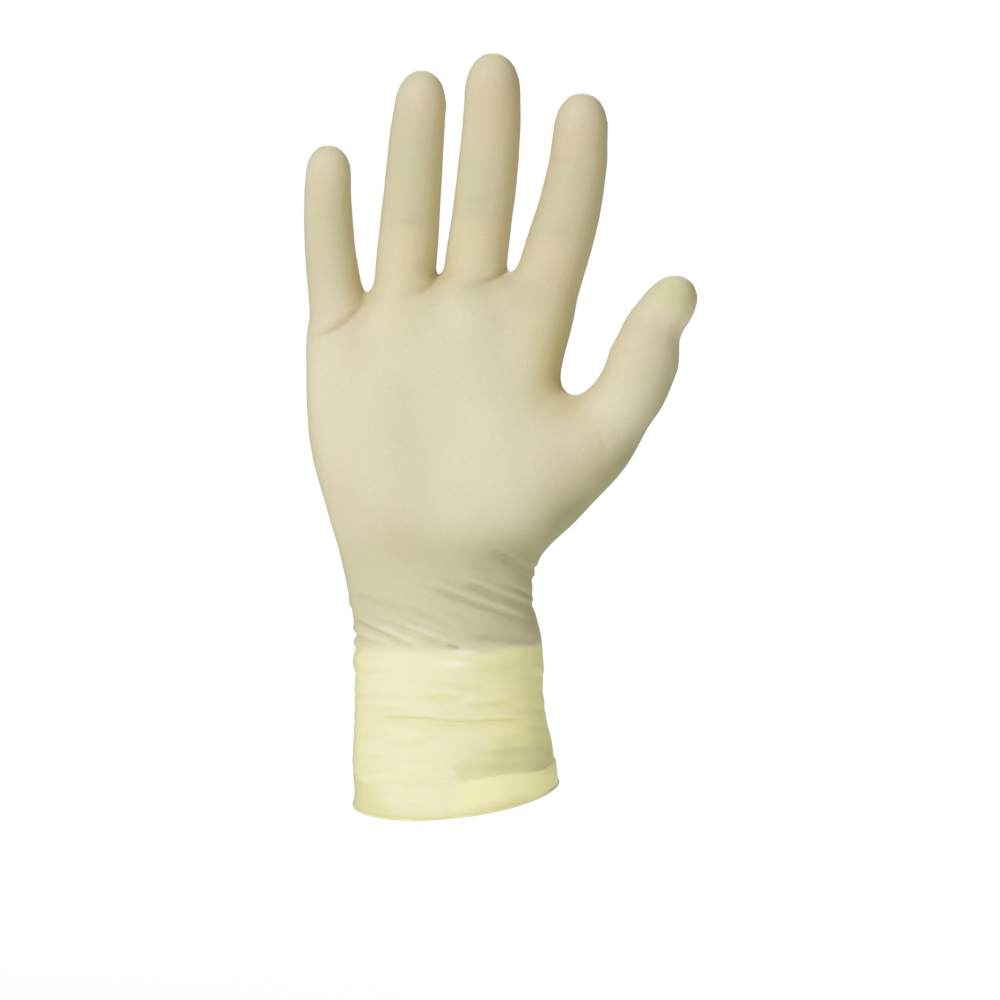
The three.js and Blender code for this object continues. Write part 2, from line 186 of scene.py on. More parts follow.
# Creases of the film, each an arc through a start, a pull and an end, as x then z on the palm's side (-1) or
# on the back (1). above and below are how far the valley reaches up and down, and lip is the swell above it.
CREASE_COLUMNS = ("x_a", "z_a", "x_b", "z_b", "x_c", "z_c", "depth", "above", "below", "lip", "side")
WRIST_CREASES = (
    (12, 91, 20, 86.4, 32, 79.6, 0.75, 1, 1.6, 0.55, -1),
    (18, 84.6, 24, 81.6, 32, 77.4, 0.3, 0.9, 1.3, 0.25, -1),
    (14, 79.6, 22, 75.8, 32, 72, 0.3, 0.8, 1.3, 0.3, -1),
    (1.5, 79.4, 12, 75.2, 30, 68.4, 0.85, 0.9, 1.5, 0.7, -1),
    (10, 74, 19, 71, 31, 66, 0.2, 0.7, 1.1, 0.2, -1),
    (-12, 78.6, 6, 71, 31, 63.6, 0.8, 0.8, 1.4, 0.65, -1),
    (-18, 71, -8, 66.2, 4, 60.8, 0.35, 1.1, 1.6, 0.4, -1),
    (-39, 66.6, -28.4, 61, -11, 54.4, 0.8, 0.75, 1.1, 0.5, -1),
    (-26, 65.2, -12, 59.6, 0.5, 55.4, 0.6, 0.8, 1.3, 0.55, -1),
    (-40, 75.6, -28, 72.4, -13, 67.4, 0.35, 1.2, 1.8, 0.3, -1),
    (-30, 66.4, -22, 63.4, -12, 59.4, 0.3, 0.8, 1.2, 0.3, -1),
    (-39, 61.4, -33, 57.8, -24, 56.6, 0.5, 0.6, 0.9, 0.3, -1),
    (-4, 56.8, -0.4, 55.8, 2.8, 55, 0.85, 0.5, 0.6, 0.4, -1),
    (-6, 53.4, 6, 52.6, 18, 53.4, -0.45, 0.8, 0.6, 0, -1),
    (2, 59.4, 16, 58.6, 33, 57, 0.6, 1.6, 1.3, 0.4, -1),
    (-42, 55.2, -37, 54.6, -32, 54.4, 0.6, 0.8, 1, 0.5, -1),
    (25, 84.6, 28, 83.6, 33, 83, 0.7, 0.8, 0.9, 0.1, -1),
    (-44, 70, -30, 66, -10, 68.4, 0.8, 0.9, 1.4, 0.5, 1),
    (-43, 80, -30, 77.4, -16, 79, 0.5, 1, 1.5, 0.4, 1),
    (-24, 74, -8, 70.4, 10, 73.8, 0.8, 0.9, 1.4, 0.6, 1),
    (-6, 66.4, 8, 63, 33, 64.4, 0.9, 0.9, 1.4, 0.6, 1),
    (2, 82, 14, 78.4, 32, 80.4, 0.7, 0.9, 1.5, 0.5, 1),
    (-42, 61, -28, 57.6, -12, 59.6, 0.8, 0.8, 1.2, 0.6, 1),
    (-14, 60.4, 2, 56.8, 20, 57.8, 0.6, 0.9, 1.3, 0.4, 1),
    (12, 71.6, 22, 69.4, 33, 71.2, 0.5, 0.9, 1.3, 0.4, 1),
    (-20, 87.4, -4, 84.8, 12, 87.6, 0.4, 1.1, 1.7, 0.3, 1),
)
CUFF_CREASES = (
    (5, 47.8, 16, 48.7, 28, 49.4, 0.35, 0.9, 1.2, 0.25, -1),
    (-1, 41.4, 7, 41.1, 13, 41.5, 0.32, 0.8, 1, 0.2, -1),
    (-16, 38.2, -4, 37.4, 7, 37.9, 0.6, 0.8, 0.9, 0.4, -1),
    (-40, 38.4, -34, 37.6, -28, 37.9, 0.25, 0.8, 1, 0.2, -1),
    (-37, 34.4, -25, 34.8, -11, 32.6, 0.32, 0.7, 0.9, 0.25, -1),
    (1.5, 34.4, 12, 35.2, 26, 36.4, 0.6, 0.9, 1.1, 0.45, -1),
    (-33, 30, -15, 30.8, 3, 28.9, 0.85, 0.65, 1, 0.5, -1),
    (-12, 28.6, 8, 28.9, 30, 30.2, 0.85, 0.65, 1, 0.5, -1),
    (-18, 20.2, -11, 22.4, -4, 25.6, 0.22, 1, 1.2, 0.15, -1),
    (12, 22.4, 20, 23.1, 29, 23.8, 0.35, 0.8, 1.1, 0.25, -1),
    (9, 18.1, 18, 18.5, 27, 19.1, 0.35, 0.7, 1, 0.25, -1),
    (1.5, 15.2, 6, 15.9, 11, 15.4, 0.3, 0.7, 0.9, 0.2, -1),
    (9, 12.4, 17, 12.8, 27, 13.2, 0.35, 0.7, 0.9, 0.25, -1),
    (20, 44.6, 28, 45.2, 35, 45, 0.2, 0.8, 1.1, 0.2, -1),
    (22, 33, 29, 33.4, 35, 33, 0.22, 0.7, 1, 0.2, -1),
    (24, 26.4, 30, 26.8, 35, 26.6, 0.16, 0.7, 1, 0.15, -1),
    (-40, 23.6, -35, 23.4, -29, 24.2, 0.16, 0.9, 1.2, 0.15, -1),
    (-42, 46.6, -26, 44.8, -8, 46.2, 0.5, 1.1, 1.5, 0.3, 1),
    (-4, 41, 12, 38.6, 36, 39.8, 0.6, 1, 1.4, 0.35, 1),
    (-30, 35.4, -14, 33.8, 6, 35.4, 0.5, 0.9, 1.3, 0.3, 1),
    (-42, 28.6, -24, 27, -2, 28.6, 0.7, 0.8, 1.1, 0.45, 1),
    (2, 27.4, 18, 29.6, 36, 29, 0.6, 0.8, 1.1, 0.35, 1),
    (10, 48.8, 20, 47.4, 34, 48.6, 0.4, 1, 1.4, 0.25, 1),
    (-26, 22.8, -16, 22, -4, 23.4, 0.3, 0.9, 1.3, 0.2, 1),
)
ROOT_CREASES = (
    (-30.4, 188, -33.2, 168, -55, 166.2, 0.8, 1.8, 0.35, 0.14, -1),
    (-32.4, 180.6, -35.4, 178.6, -40, 176.8, 0.34, 0.5, 0.5, 0.34, -1),
    (-33, 177.4, -35.4, 175.2, -39, 173.8, 0.25, 0.5, 0.5, 0.2, -1),
    (-4.4, 193.6, -6.4, 183, -15, 182, 0.75, 1.9, 0.4, 0.12, -1),
    (-9, 184, -14, 181.8, -22, 180.6, 0.3, 2.6, 1.2, 0.1, -1),
    (21.4, 194, 17.4, 186.4, 7, 185.4, 0.9, 1.7, 0.45, 0.16, -1),
    (13, 187, 8, 185.2, 1, 185.4, 0.25, 2.2, 1.2, 0.1, -1),
    (-22, 208.6, -16.4, 207.2, -10.6, 208.4, 0.24, 1.1, 0.8, 0.1, -1),
    (1.6, 216, 7.4, 214.6, 13.6, 215.6, 0.32, 1, 0.8, 0.16, -1),
    (3, 211.6, 8, 210.6, 14.4, 211.4, 0.14, 1, 0.8, 0.08, -1),
    (32, 205.4, 37.4, 203.6, 43.6, 206.4, 0.3, 1, 0.8, 0.14, -1),
    (34, 230.6, 38.4, 229, 43.4, 229.6, 0.4, 1, 0.8, 0.2, -1),
    (-51, 209.6, -46, 208.6, -41, 209.4, 0.14, 1, 0.8, 0.08, -1),
    (55, 163.4, 61, 160.6, 67, 160.8, 0.18, 1.3, 1, 0.1, -1),
    (49.5, 134, 53.6, 130, 52.6, 123.6, 0.3, 1.2, 1, 0.2, -1),
    (46, 131.6, 49.4, 128.6, 49.6, 124.4, 0.18, 1.1, 1, 0.12, -1),
    (-38.5, 176.4, -34, 171.8, -29.4, 177, 0.3, 2, 1.4, 0.1, 1),
    (-12.6, 182.4, -7.2, 179.6, -2.4, 183.6, 0.3, 2, 1.4, 0.1, 1),
    (12.8, 184, 18.2, 181.2, 23.4, 184.4, 0.3, 2, 1.4, 0.1, 1),
)
# Points along a crease's arc, and the share of it over which each end fades. A crease laps this far round the
# glove's side, and counts for as many times its reach as the margin says.
CREASE_STEPS = 15
CREASE_FADE = 0.3
SIDE_LAP = 4
CREASE_MARGIN = 4
# How far above its line a crease's lip lies, and how far it reaches, as a share of above and a length.
LIP_PLACE = (2.3, 0.3)
LIP_REACH = (1.6, 0.5)

# Joints on the backs of the digits, where the film puckers into three short creases.
KNUCKLE_COLUMNS = ("x", "z", "width", "slope")
KNUCKLES = (
    (-45, 205, 12, 0.08),
    (-16.4, 211, 15, -0.06),
    (10, 217, 15, -0.1),
    (38.6, 207, 15, -0.24),
    (67.4, 158, 15, -0.44),
    (-45.4, 222, 9, 0.02),
    (-13.6, 238, 12, -0.1),
    (12.8, 244, 12, -0.04),
    (44.6, 230, 12, -0.16),
)
# How far apart the three lie, how deep the middle one is, and how far each reaches up and down.
KNUCKLE_SPREAD = 3.4
KNUCKLE_DEPTH = 0.45
KNUCKLE_REACH = (1.1, 0.9)

# Swells and dents of the outline, as a place, a reach and a height out of the film.
SWELL_COLUMNS = ("x", "y", "z", "reach", "height")
SWELLS = (
    (80, -11, 155.5, 4.5, 0.4),
    (56.4, -9, 162, 3.4, 0.5),
    (29, 0, 80.6, 1.6, 1.1),
    (-37, 0, 50.4, 3.2, 0.9),
    (-37, 0, 15.5, 7, 0.5),
    (-36, 0, 4.5, 4, -0.3),
    (34, 0, 22, 7, 0.5),
)

# The mouth is a slanted plane whose middle is raised by rise and whose sides curl up by crown.
# The band's top edge wanders, as x then height where the front of the cuff is, and rises towards the back.
MOUTH = {"rise": 1.1, "slope_x": 0.109, "slope_y": 0.21, "crown": 1.6, "half_depth": 27}
BAND_EDGE_X = (-42, -36, -33, -24, -10, 0, 5.4, 12.6, 19.8, 27, 32.4, 36, 42)
BAND_EDGE_Z = (5, 5, 4.2, 5.4, 6, 6.8, 8.5, 9.5, 10.1, 9.3, 8.9, 9.8, 10.2)
BAND_RISE = 0.2
FRONT_OF_CUFF = -26

# The grid's pitch in Y, and in Z up to each height, as a share of its pitch in X.
DEPTH_SHARE = 1.35
STEP_SHARES = ((1, 0.8), (19, 0.5), (52, 0.66), (84, 0.48), (94, 0.8), (150, 1.3), (196, 0.9), (225, 1.15))
TOP_SHARE = 1.05
GRID_MARGIN = 4

# How many rounds even the grid's vertices out, and how far each goes towards its neighbours and back again.
EVEN_ROUNDS = 4
EVEN_PULLS = (0.5, -0.52)

# How deep in a valley the film is split up finer, once and then again, and how far new vertices are evened.
SPLIT_VALLEYS = (0.28, 0.68)
SPLIT_PULL = 0.5

# From how deep in a valley the film is evened out, and by how much in each round.
SETTLE_FROM = 0.15
SETTLE_ROUNDS = 2
SETTLE_PULL = 0.35

# Fine gathers between these heights, which lean with the wrist.
GATHER_LOW = 55
GATHER_HIGH = 93
GATHER_LEAN = 0.38

# Soft patches of each finish, of painted shade and of painted highlights, as the middle's x and z, the reach
# in x and z, and the strength.
ROSY_PATCHES = (
    (-45.6, 219, 7, 7, 1),
    (-13, 250, 8, 8, 1),
    (14, 252, 8, 11, 1.2),
    (45, 241, 8, 8, 1),
    (12, 212, 7, 5, 1),
    (15, 223, 6, 6, 0.5),
    (11.5, 235, 9, 9, 0.6),
    (41.6, 230, 8, 6, 0.5),
    (-13, 194, 9, 8, 0.3),
    (37, 194, 10, 12, 1),
    (44, 122, 15, 13, 1),
    (67, 168, 11, 10, 1),
    (56, 152, 8, 10, 0.3),
    (42, 137, 9, 6, 0.6),
    (22, 180, 12, 9, 0.5),
    (-24, 94, 16, 12, 0.8),
    (-42, 112, 9, 20, 0.4),
    (-36, 142, 16, 30, 0.3),
    (-36, 164, 12, 8, 0.3),
    (-46, 192, 8, 12, 0.15),
    # The next two rows lay a rosy painted shade into the creases at the roots of the little and ring fingers.
    (-39, 174, 6, 3.4, 1),
    (-13, 186, 6, 3, 0.5),
)
JOINT_PATCHES = (
    (-45.5, 208, 9, 6, 1),
    (-16, 209, 12, 4, 1),
    (-14, 229, 10, 11, 1),
    (9.5, 215, 11, 5, 1),
    (8, 226, 6, 6, 1),
    (40, 205, 11, 4.5, 1),
    (43, 223, 8, 4, 1),
    (8, 184, 7, 3.5, 1),
)
# Painted shade where the heel of the thumb, the thumb's side and the wrist turn away from the light.
SHADE_PATCHES = (
    (30, 87, 20, 13, 0.68),
    (62, 116, 14, 11, 1),
    (47, 97, 12, 12, 1),
    (-36, 104, 12, 16, 0.12),
    (17, 61, 15, 5, 0.3),
    (-8, 90, 34, 9, 0.22),
    (12, 86, 10, 8, 0.25),
    (-2, 106, 18, 12, 0.12),
    (30, 72, 8, 10, 0.1),
    (42, 105, 18, 14, 0.3),
    (80, 147, 9, 14, 0.5),
    (74, 132, 10, 12, 0.5),
    (39, 96, 6, 6, 0.2),
)
# Patches of painted shade on the digits' flanks and in the webs between the fingers.
FLANK_SHADE_PATCHES = (
    (34, 164, 12, 24, 0.5),
    (40, 144, 9, 8, 0.4),
    (17, 252, 5, 12, 0.3),
    (-10, 186.5, 7, 7, 0.5),
    (-33.5, 181, 5, 7, 0.5),
)
# Painted highlights: two pale spots on the cuff, a pale ridge at the wrist and the four fingertips.
HIGHLIGHT_PATCHES = (
    (3, 53.8, 4.5, 0.8, 1),
    (-0.5, 49.8, 5, 1.2, 0.9),
    (-20, 60.6, 16, 4, 0.3),
    (-45.4, 231, 9, 8, 0.24),
    (-12.2, 259, 9, 8, 0.24),
    (13.4, 266, 9, 8, 0.24),
    (45.2, 250, 9, 8, 0.24),
)
# Single patches, whose strength is given where they are painted.
SPARE_TIP = (78, 181, 8, 5.5)
THUMB_ROOT = (65, 154, 9, 9)
GREY_HEM = (-20, 58.4, 18, 4)
SHADED_FOLD = (20, 47, 10, 5)

# Finger roots, where the tight film turns golden. Each row is a patch and the height of the joint above it.
GOLDEN_ROOTS = (
    (-15, 196, 12, 13, 0.7, 207.4),
    (9, 200, 11, 12, 0.55, 209.6),
    (37, 198, 10, 10, 0.4, 205),
    (-35, 177, 5, 4, 0.4, 190),
    (-23, 176, 9, 7, 0.45, 190),
    (-1, 189, 6, 6, 0.5, 200),
    (16, 187.5, 7, 4, 0.5, 196),
)

# Patterns of the latex: the lumps' size in millimetres along X, Y and Z, the noise's detail and roughness,
# the noise at which the pattern starts and is full, and how far it then covers what is under it. The clouding
# is where the dip ran thicker, the streaks run across the cuff, the layers are those of the roll, and the
# grain is that of the matt surface, drawn at 0.8 mm because finer grain can't show in the picture.
GRAIN = ("grain", (0.8, 0.8, 0.8), 3, 0.65, 0.3, 0.7, 0.14)
FILM_PATTERNS = (
    GRAIN,
    ("clouding", (12.5, 12.5, 12.5), 3, 0.6, 0.4, 0.75, 0.55),
    ("streaks", (25, 25, 4), 2, 0.5, 0.45, 0.75, 0.22),
)
ROLL_PATTERNS = (
    GRAIN,
    ("layers", (8.33, 8.33, 8.33), 2, 0.5, 0, 1, 1),
)
# How far the painted shade in a crease covers the film at the bottom of its valley; in the cuff it is also
# the yellower film lying in the crease.
CREASE_SHADE_SHARE = 0.52

# Heights at which the film turns from the pale cuff to the gathered wrist, and from the palm to the fingers.
PALE_EDGE = 55.5
FINGER_FOOT = 172
FINGER_FOOT_DROP = 16

# The share of its reach at which the floor starts to fade into the studio.
FADE_START = 0.3

# A distance from the film that is further than any point of the grid.
FAR = 1e3
# Added to what may be 0 before it is divided by, and too small to show.
TINY = 1e-6

# Smooth noise mixes a cell's three numbers by these, and shifts each seed by SEED_SHIFT.
CELL_MIX = (12.9898, 78.233, 37.719)
CELL_SPREAD = 43758.5453
SEED_SHIFT = 17.3


def linear(hex_colour):
    """An sRGB hex colour as linear red, green and blue, and an alpha of 1."""
    channels = [int(hex_colour[i : i + 2], 16) / 255 for i in (0, 2, 4)]
    return [*(c / 12.92 if c <= 0.04045 else ((c + 0.055) / 1.055) ** 2.4 for c in channels), 1]


def colour_property(name, description, hex_colour):
    return FloatVectorProperty(
        name=name, description=description, default=linear(hex_colour), size=4, subtype="COLOR", min=0, max=1
    )


def length_property(name, description, millimetres):
    return FloatProperty(
        name=name, description=description, default=millimetres * MM, unit="LENGTH", precision=5
    )


def number_property(name, description, default):
    return FloatProperty(name=name, description=description, default=default, min=0)


class FilmSettings(bpy.types.PropertyGroup):
    """Sizes of the dipped film."""

    pitch: length_property("Pitch", "Width of a face over the palm", 1.45)
    thickness: length_property("Thickness", "Wall of the film, which is thicker than a real one", 0.5)
    band_proud: length_property("Band", "How far the doubled band at the mouth stands out", 0.6)
    fold_strength: number_property("Folds", "Strength of the wrist's creases", 1)


class RimSettings(bpy.types.PropertyGroup):
    """Sizes of the rolled rim."""

    diameter: length_property("Diameter", "Thickness of the roll", 1.25)
    sunk: length_property("Sunk", "How far the roll's middle lies inside the film's outer face", 0.3)
    unevenness: number_property("Unevenness", "How far the roll's thickness wanders, as a share of it", 0.12)
    steps: IntProperty(name="Steps", description="Rings along the roll", default=320, min=32)
    sides: IntProperty(name="Sides", description="Sides of the roll", default=12, min=6)


class LatexSettings(bpy.types.PropertyGroup):
    """Colours of the latex, which is paler and yellower in the cuff than in the rest."""

    palm: colour_property("Palm", "Stretched film of the palm and back", "e3dec3")
    thick: colour_property("Thick", "Where the dip ran thicker and greener", "dddab6")
    finger: colour_property("Finger", "Film of the fingers", "d4cbaa")
    flush: colour_property("Flush", "Rosy patches where the film is stretched thinnest", "dccab0")
    golden: colour_property("Golden", "Finger roots, where the tight film turns golden", "e2d3ac")
    joint: colour_property("Joint", "At the joints, where the film is looser", "d0cba7")
    fingertip: colour_property("Fingertip", "Spare film at the thumb's end", "d9d7a6")
    # The gathered film of the wrist, darker partly from painted shade where the heel turns down from the
    # light.
    gathered_and_shaded: colour_property("Gathered", "Wrist, where the film lies in gathers", "d4ceac")
    # Painted shade, where the heel of the thumb and the wrist turn from the light.
    painted_shade: colour_property("Baggy", "Heel of the thumb, where loose film looks olive", "a8a47b")
    # Painted shade on the flanks of the digits that turn from the light, and in the webs.
    deep: colour_property("Deep", "Sides towards the thumb, where the dip ran thicker", "cdbf8d")
    # Painted shade in the bottoms of the wrist's creases; the same colour marks the grain's dark specks.
    valley: colour_property("Valley", "Bottoms of the wrist's creases, and the grain's dark specks", "a3a06e")
    # Painted shade in the bottoms of the creases at the fingers' roots.
    root: colour_property("Root", "Bottoms of the creases at the fingers' roots", "b5a274")
    cuff: colour_property("Cuff", "Pale film of the cuff", "edeac6")
    # The cuff's yellower streaks, and in its creases painted shade together with yellower film.
    streak: colour_property("Streak", "Deeper, yellower film in the cuff's creases and streaks", "d9d488")
    # Painted highlights on the cuff, the wrist, the fingertips and the fingers' flanks that face the light.
    pressed: colour_property("Pressed", "Cuff film that is pressed flat and so looks whiter", "faf7e2")
    # Painted light: the cuff's flanks tinted lighter and yellower, as where light comes through more film.
    side: colour_property("Side", "Flanks of the cuff, where more film is looked through", "f4f1b2")
    # Painted shade where the cuff stands off, along its left edge and in one fold.
    shade: colour_property("Shade", "Where the cuff stands off and looks darker", "d8d6a5")
    # The doubled film of the band, painted lighter towards the thumb, where it catches the light.
    doubled: colour_property("Doubled", "Doubled film of the band", "f6f4c3")
    band: colour_property("Band", "Doubled film close to the rim", "e0dea8")
    # Painted light: the band's end on the thumb's side made bright, where it catches the light.
    painted_band_glow: colour_property("Bead end", "Thumb's side of the doubled band, which glows yellow", "fcfaba")
    roll: colour_property("Roll", "The thicker latex of the rim", "efecbc")


class StudioSettings(bpy.types.PropertyGroup):
    """The camera, the floor and the lights."""

    framed: length_property("Framed", "Width of what the camera frames at the glove", 360)
    distance: length_property("Distance", "From the camera to the glove", 2200)
    aim_x: length_property("Aim X", "Middle of the picture across", 16.2)
    aim_z: length_property("Aim Z", "Middle of the picture up", 108)
    floor_drop: length_property("Floor drop", "How far the floor lies below the mouth", 170)
    floor_reach: length_property("Floor reach", "Radius at which the floor has faded into the studio", 1700)
    key: number_property("Key", "Power of the main soft light in watts", 28.6)
    top: number_property("Top", "Power of the light above, which whitens the floor, in watts", 12)
    fill: number_property("Fill", "Power of the warm fill light in watts", 6)
    back: number_property("Back", "Power of the light behind the glove in watts", 13)
    ambient: number_property("Ambient", "Strength of the light from all round", 0.2)
    glow: number_property("Glow", "Light that comes up through the floor", 0.25)
    warmth: colour_property("Warmth", "Colour of the fill light", "fff5da")


def named_rows(rows, names):
    return [dict(zip(names, row)) for row in rows]


def columns(rows, names):
    """The rows of a table as one array for each named column."""
    return {name: np.array([row[i] for row in rows], float) for i, name in enumerate(names)}


def smooth_column(places, values, at):
    """A cubic through a column's values, whose slopes come from the values on either side."""
    slopes = np.empty_like(values)
    slopes[1:-1] = (values[2:] - values[:-2]) / (places[2:] - places[:-2])
    slopes[0] = (values[1] - values[0]) / (places[1] - places[0])
    slopes[-1] = (values[-1] - values[-2]) / (places[-1] - places[-2])
    i = np.clip(np.searchsorted(places, at) - 1, 0, len(places) - 2)
    span = places[i + 1] - places[i]
    t = (at - places[i]) / span
    rise = values[i + 1] - values[i]
    bend = (1 - t) * (slopes[i] * span - rise) - t * (slopes[i + 1] * span - rise)
    return values[i] + t * rise + t * (1 - t) * bend


def rising(value, low, high):
    """0 up to low, 1 from high, and a smooth rise between them."""
    t = np.clip((value - low) / (high - low), 0, 1)
    return t * t * (3 - 2 * t)


def falling(value, low, high):
    return 1 - rising(value, low, high)


def merged(a, b, reach):
    """The nearer of two distances, rounded off where they meet."""
    h = np.maximum(reach - np.abs(a - b), 0) / reach
    return np.minimum(a, b) - h * h * reach / 4


def mouth_height(x, y):
    crown = MOUTH["crown"] * np.maximum(1 - (y / MOUTH["half_depth"]) ** 2, 0)
    return MOUTH["rise"] + MOUTH["slope_x"] * x + MOUTH["slope_y"] * y + crown


def band_height(x, y):
    return np.interp(x, BAND_EDGE_X, BAND_EDGE_Z) + BAND_RISE * (y - FRONT_OF_CUFF)


def noise(points, reach, seed):
    """Smooth noise from 0 to 1 at points in millimetres, whose lumps are reach across in X, Y and Z."""
    place = points / np.asarray(reach, float) + seed * SEED_SHIFT
    cell = np.floor(place)
    share = place - cell
    share = share * share * (3 - 2 * share)
    total = np.zeros(len(points))
    for corner in np.ndindex(2, 2, 2):
        value = np.abs(np.modf(np.sin((cell + corner) @ np.array(CELL_MIX)) * CELL_SPREAD)[0])
        total += value * np.prod(np.where(corner, share, 1 - share), axis=1)
    return total


def ridges(points, reach, seed):
    """Noise from -0.5 to 0.5 with sharp crests, like folds."""
    return 0.5 - np.abs(2 * noise(points, reach, seed) - 1)


def patch(x, z, centre_x, centre_z, reach_x, reach_z):
    return np.exp(-(((x - centre_x) / reach_x) ** 2) - ((z - centre_z) / reach_z) ** 2)


def patches(x, z, rows):
    return sum(strength * patch(x, z, *place) for *place, strength in rows)


class Trunk:
    """The palm, wrist and cuff, asked for by height."""

    def __init__(self):
        table = columns(TRUNK, TRUNK_COLUMNS)
        self.heights = np.arange(table["z"][0], table["z"][-1], TRUNK_STEP)
        self.fine = {name: smooth_column(table["z"], table[name], self.heights) for name in TRUNK_COLUMNS}
        self.top = table["z"][-1]

    def at(self, name, z):
        return np.interp(z, self.heights, self.fine[name])

    def distance(self, x, y, z):
        """How far a point lies outside the wall of its section, which is at 1 in u and v."""
        level = z - (x - ARCH * x * x) * self.at("tilt", z)
        forward = self.at("lean", level) * (np.maximum(x - LEAN_START, 0) / LEAN_FULL) ** 2
        left, right, front, back = (self.at(name, level) for name in ("left", "right", "front", "back"))
        half_x, half_y = (right - left) / 2, (back - front) / 2
        u = (x - (left + right) / 2) / half_x
        v = (y + forward - (front + back) / 2) / half_y
        power = self.at("square", level)
        au, av = np.maximum(np.abs(u), 1e-3), np.maximum(np.abs(v), 1e-3)
        rho = (au**power + av**power) ** (1 / power)
        steep = np.hypot(au ** (power - 1) / half_x, av ** (power - 1) / half_y) * rho ** (1 - power)
        side = (rho - 1) / steep - pad_height(x, y, z)
        return -merged(-side, self.top - level, TOP_MERGE)


def pad_height(x, y, z):
    """How far the pads push the film out."""
    height = np.zeros_like(x)
    for p in named_rows(PADS, PAD_COLUMNS):
        near = 1 - ((x - p["x"]) / p["reach_x"]) ** 2 - ((z - p["z"]) / p["reach_z"]) ** 2
        height += p["height"] * np.maximum(near, 0) ** 2 * rising(p["side"] * y, 0, SIDE_FADE)
    return height


class Digit:
    """A finger or the thumb: sections along a bent line, with a rounded tip."""

    def __init__(self, rows, tip):
        table = columns(rows, DIGIT_COLUMNS)
        places = np.arange(len(rows), dtype=float)
        along = np.linspace(0, places[-1], DIGIT_STEPS)
        fine = {name: smooth_column(places, table[name], along) for name in DIGIT_COLUMNS}
        self.points = np.stack([fine["x"], fine["y"], fine["z"]], axis=1)
        self.half_across = fine["across"] / 2
        self.half_deep = fine["deep"] / 2
        self.tip = tip

    def window(self, axes):
        """The part of a grid that the digit lies in."""
        grow = max(self.half_across.max(), self.half_deep.max()) + DIGIT_MARGIN
        ends = zip(axes, self.points.min(axis=0) - grow, self.points.max(axis=0) + grow)
        return tuple(slice(*np.searchsorted(axis, (low, high))) for axis, low, high in ends)

    def distance(self, x, y, z):
        """How far a point lies outside the digit's nearest stretch."""
        p = np.stack([x, y, z], axis=-1)
        best = np.full(x.shape, np.inf)
        found = np.full(x.shape, FAR)
        last = len(self.points) - 2
        for k in range(last + 1):
            step = self.points[k + 1] - self.points[k]
            length = np.linalg.norm(step)
            ahead = step / length
            sideways = np.cross((0, 1, 0), ahead)
            sideways /= np.linalg.norm(sideways)
            outwards = np.cross(ahead, sideways)
            r = p - self.points[k]
            along = r @ ahead
            t = np.clip(along / length, 0, 1)
            over = np.maximum(along - length, 0) if k == last else 0
            under = np.minimum(along, 0) if k == 0 else 0
            beyond = along - t * length
            u, v = r @ sideways, r @ outwards
            near = u * u + v * v + beyond * beyond
            half_u = self.half_across[k] * (1 - t) + self.half_across[k + 1] * t
            half_v = self.half_deep[k] * (1 - t) + self.half_deep[k + 1] * t
            w = np.abs(over + under) / self.tip
            around = np.sqrt((u / half_u) ** 2 + (v / half_v) ** 2) + TINY
            rho = (around**TIP_SQUARE + w**TIP_SQUARE) ** (1 / TIP_SQUARE)
            across = around ** (TIP_SQUARE - 2) * np.hypot(u / half_u**2, v / half_v**2)
            steep = np.hypot(across, w ** (TIP_SQUARE - 1) / self.tip) * rho ** (1 - TIP_SQUARE) + TINY
            closer = near < best
            best = np.where(closer, near, best)
            found = np.where(closer, (rho - 1) / steep, found)
        return found


def film_field(axes):
    """The distance from the film's outer face at each point of the grid, negative inside."""
    x, y, z = np.meshgrid(*axes, indexing="ij")
    fingers = np.full(x.shape, FAR)
    thumb = np.full(x.shape, FAR)
    for name, rows in DIGITS.items():
        digit = Digit(rows, TIPS[name])
        window = digit.window(axes)
        own = digit.distance(x[window], y[window], z[window])
        field = thumb if name == "thumb" else fingers
        field[window] = merged(field[window], own, FINGER_GAP_MERGE)
    palm = merged(Trunk().distance(x, y, z), fingers, FINGER_MERGE)
    return merged(palm, thumb, THUMB_MERGE)


def net_points(field, axes, active):
    """The middle of the places where the surface crosses each active cell's edges."""
    corners = list(np.ndindex(2, 2, 2))
    value = {c: field[tuple((active + c).T)] for c in corners}
    place = {c: np.stack([axes[d][active[:, d] + c[d]] for d in range(3)], axis=1) for c in corners}
    total = np.zeros((len(active), 3))
    hits = np.zeros(len(active))
    for a in corners:
        for d in range(3):
            if a[d]:
                continue
            b = tuple(1 if i == d else a[i] for i in range(3))
            cut = (value[a] < 0) != (value[b] < 0)
            t = np.where(cut, value[a] / np.where(cut, value[a] - value[b], 1), 0)
            total += np.where(cut[:, None], place[a] + t[:, None] * (place[b] - place[a]), 0)
            hits += cut
    return total / hits[:, None]


def net_faces(inside, number):
    """A four-sided face round each edge of the grid that the surface crosses, facing outwards."""
    faces = []
    for d in range(3):
        one, two = (d + 1) % 3, (d + 2) % 3
        change = -np.diff(inside.astype(np.int8), axis=d)
        edge = np.argwhere(change != 0)
        whole = (edge[:, one] > 0) & (edge[:, two] > 0)
        whole &= (edge[:, one] < inside.shape[one] - 1) & (edge[:, two] < inside.shape[two] - 1)
        edge = edge[whole]
        outwards = change[tuple(edge.T)] > 0
        ring = []
        for step_one, step_two in ((-1, -1), (0, -1), (0, 0), (-1, 0)):
            at = edge.copy()
            at[:, one] += step_one
            at[:, two] += step_two
            ring.append(number[tuple(at.T)])
        quad = np.stack(ring, axis=1)
        faces.append(np.where(outwards[:, None], quad, quad[:, ::-1]))
    return np.concatenate(faces)


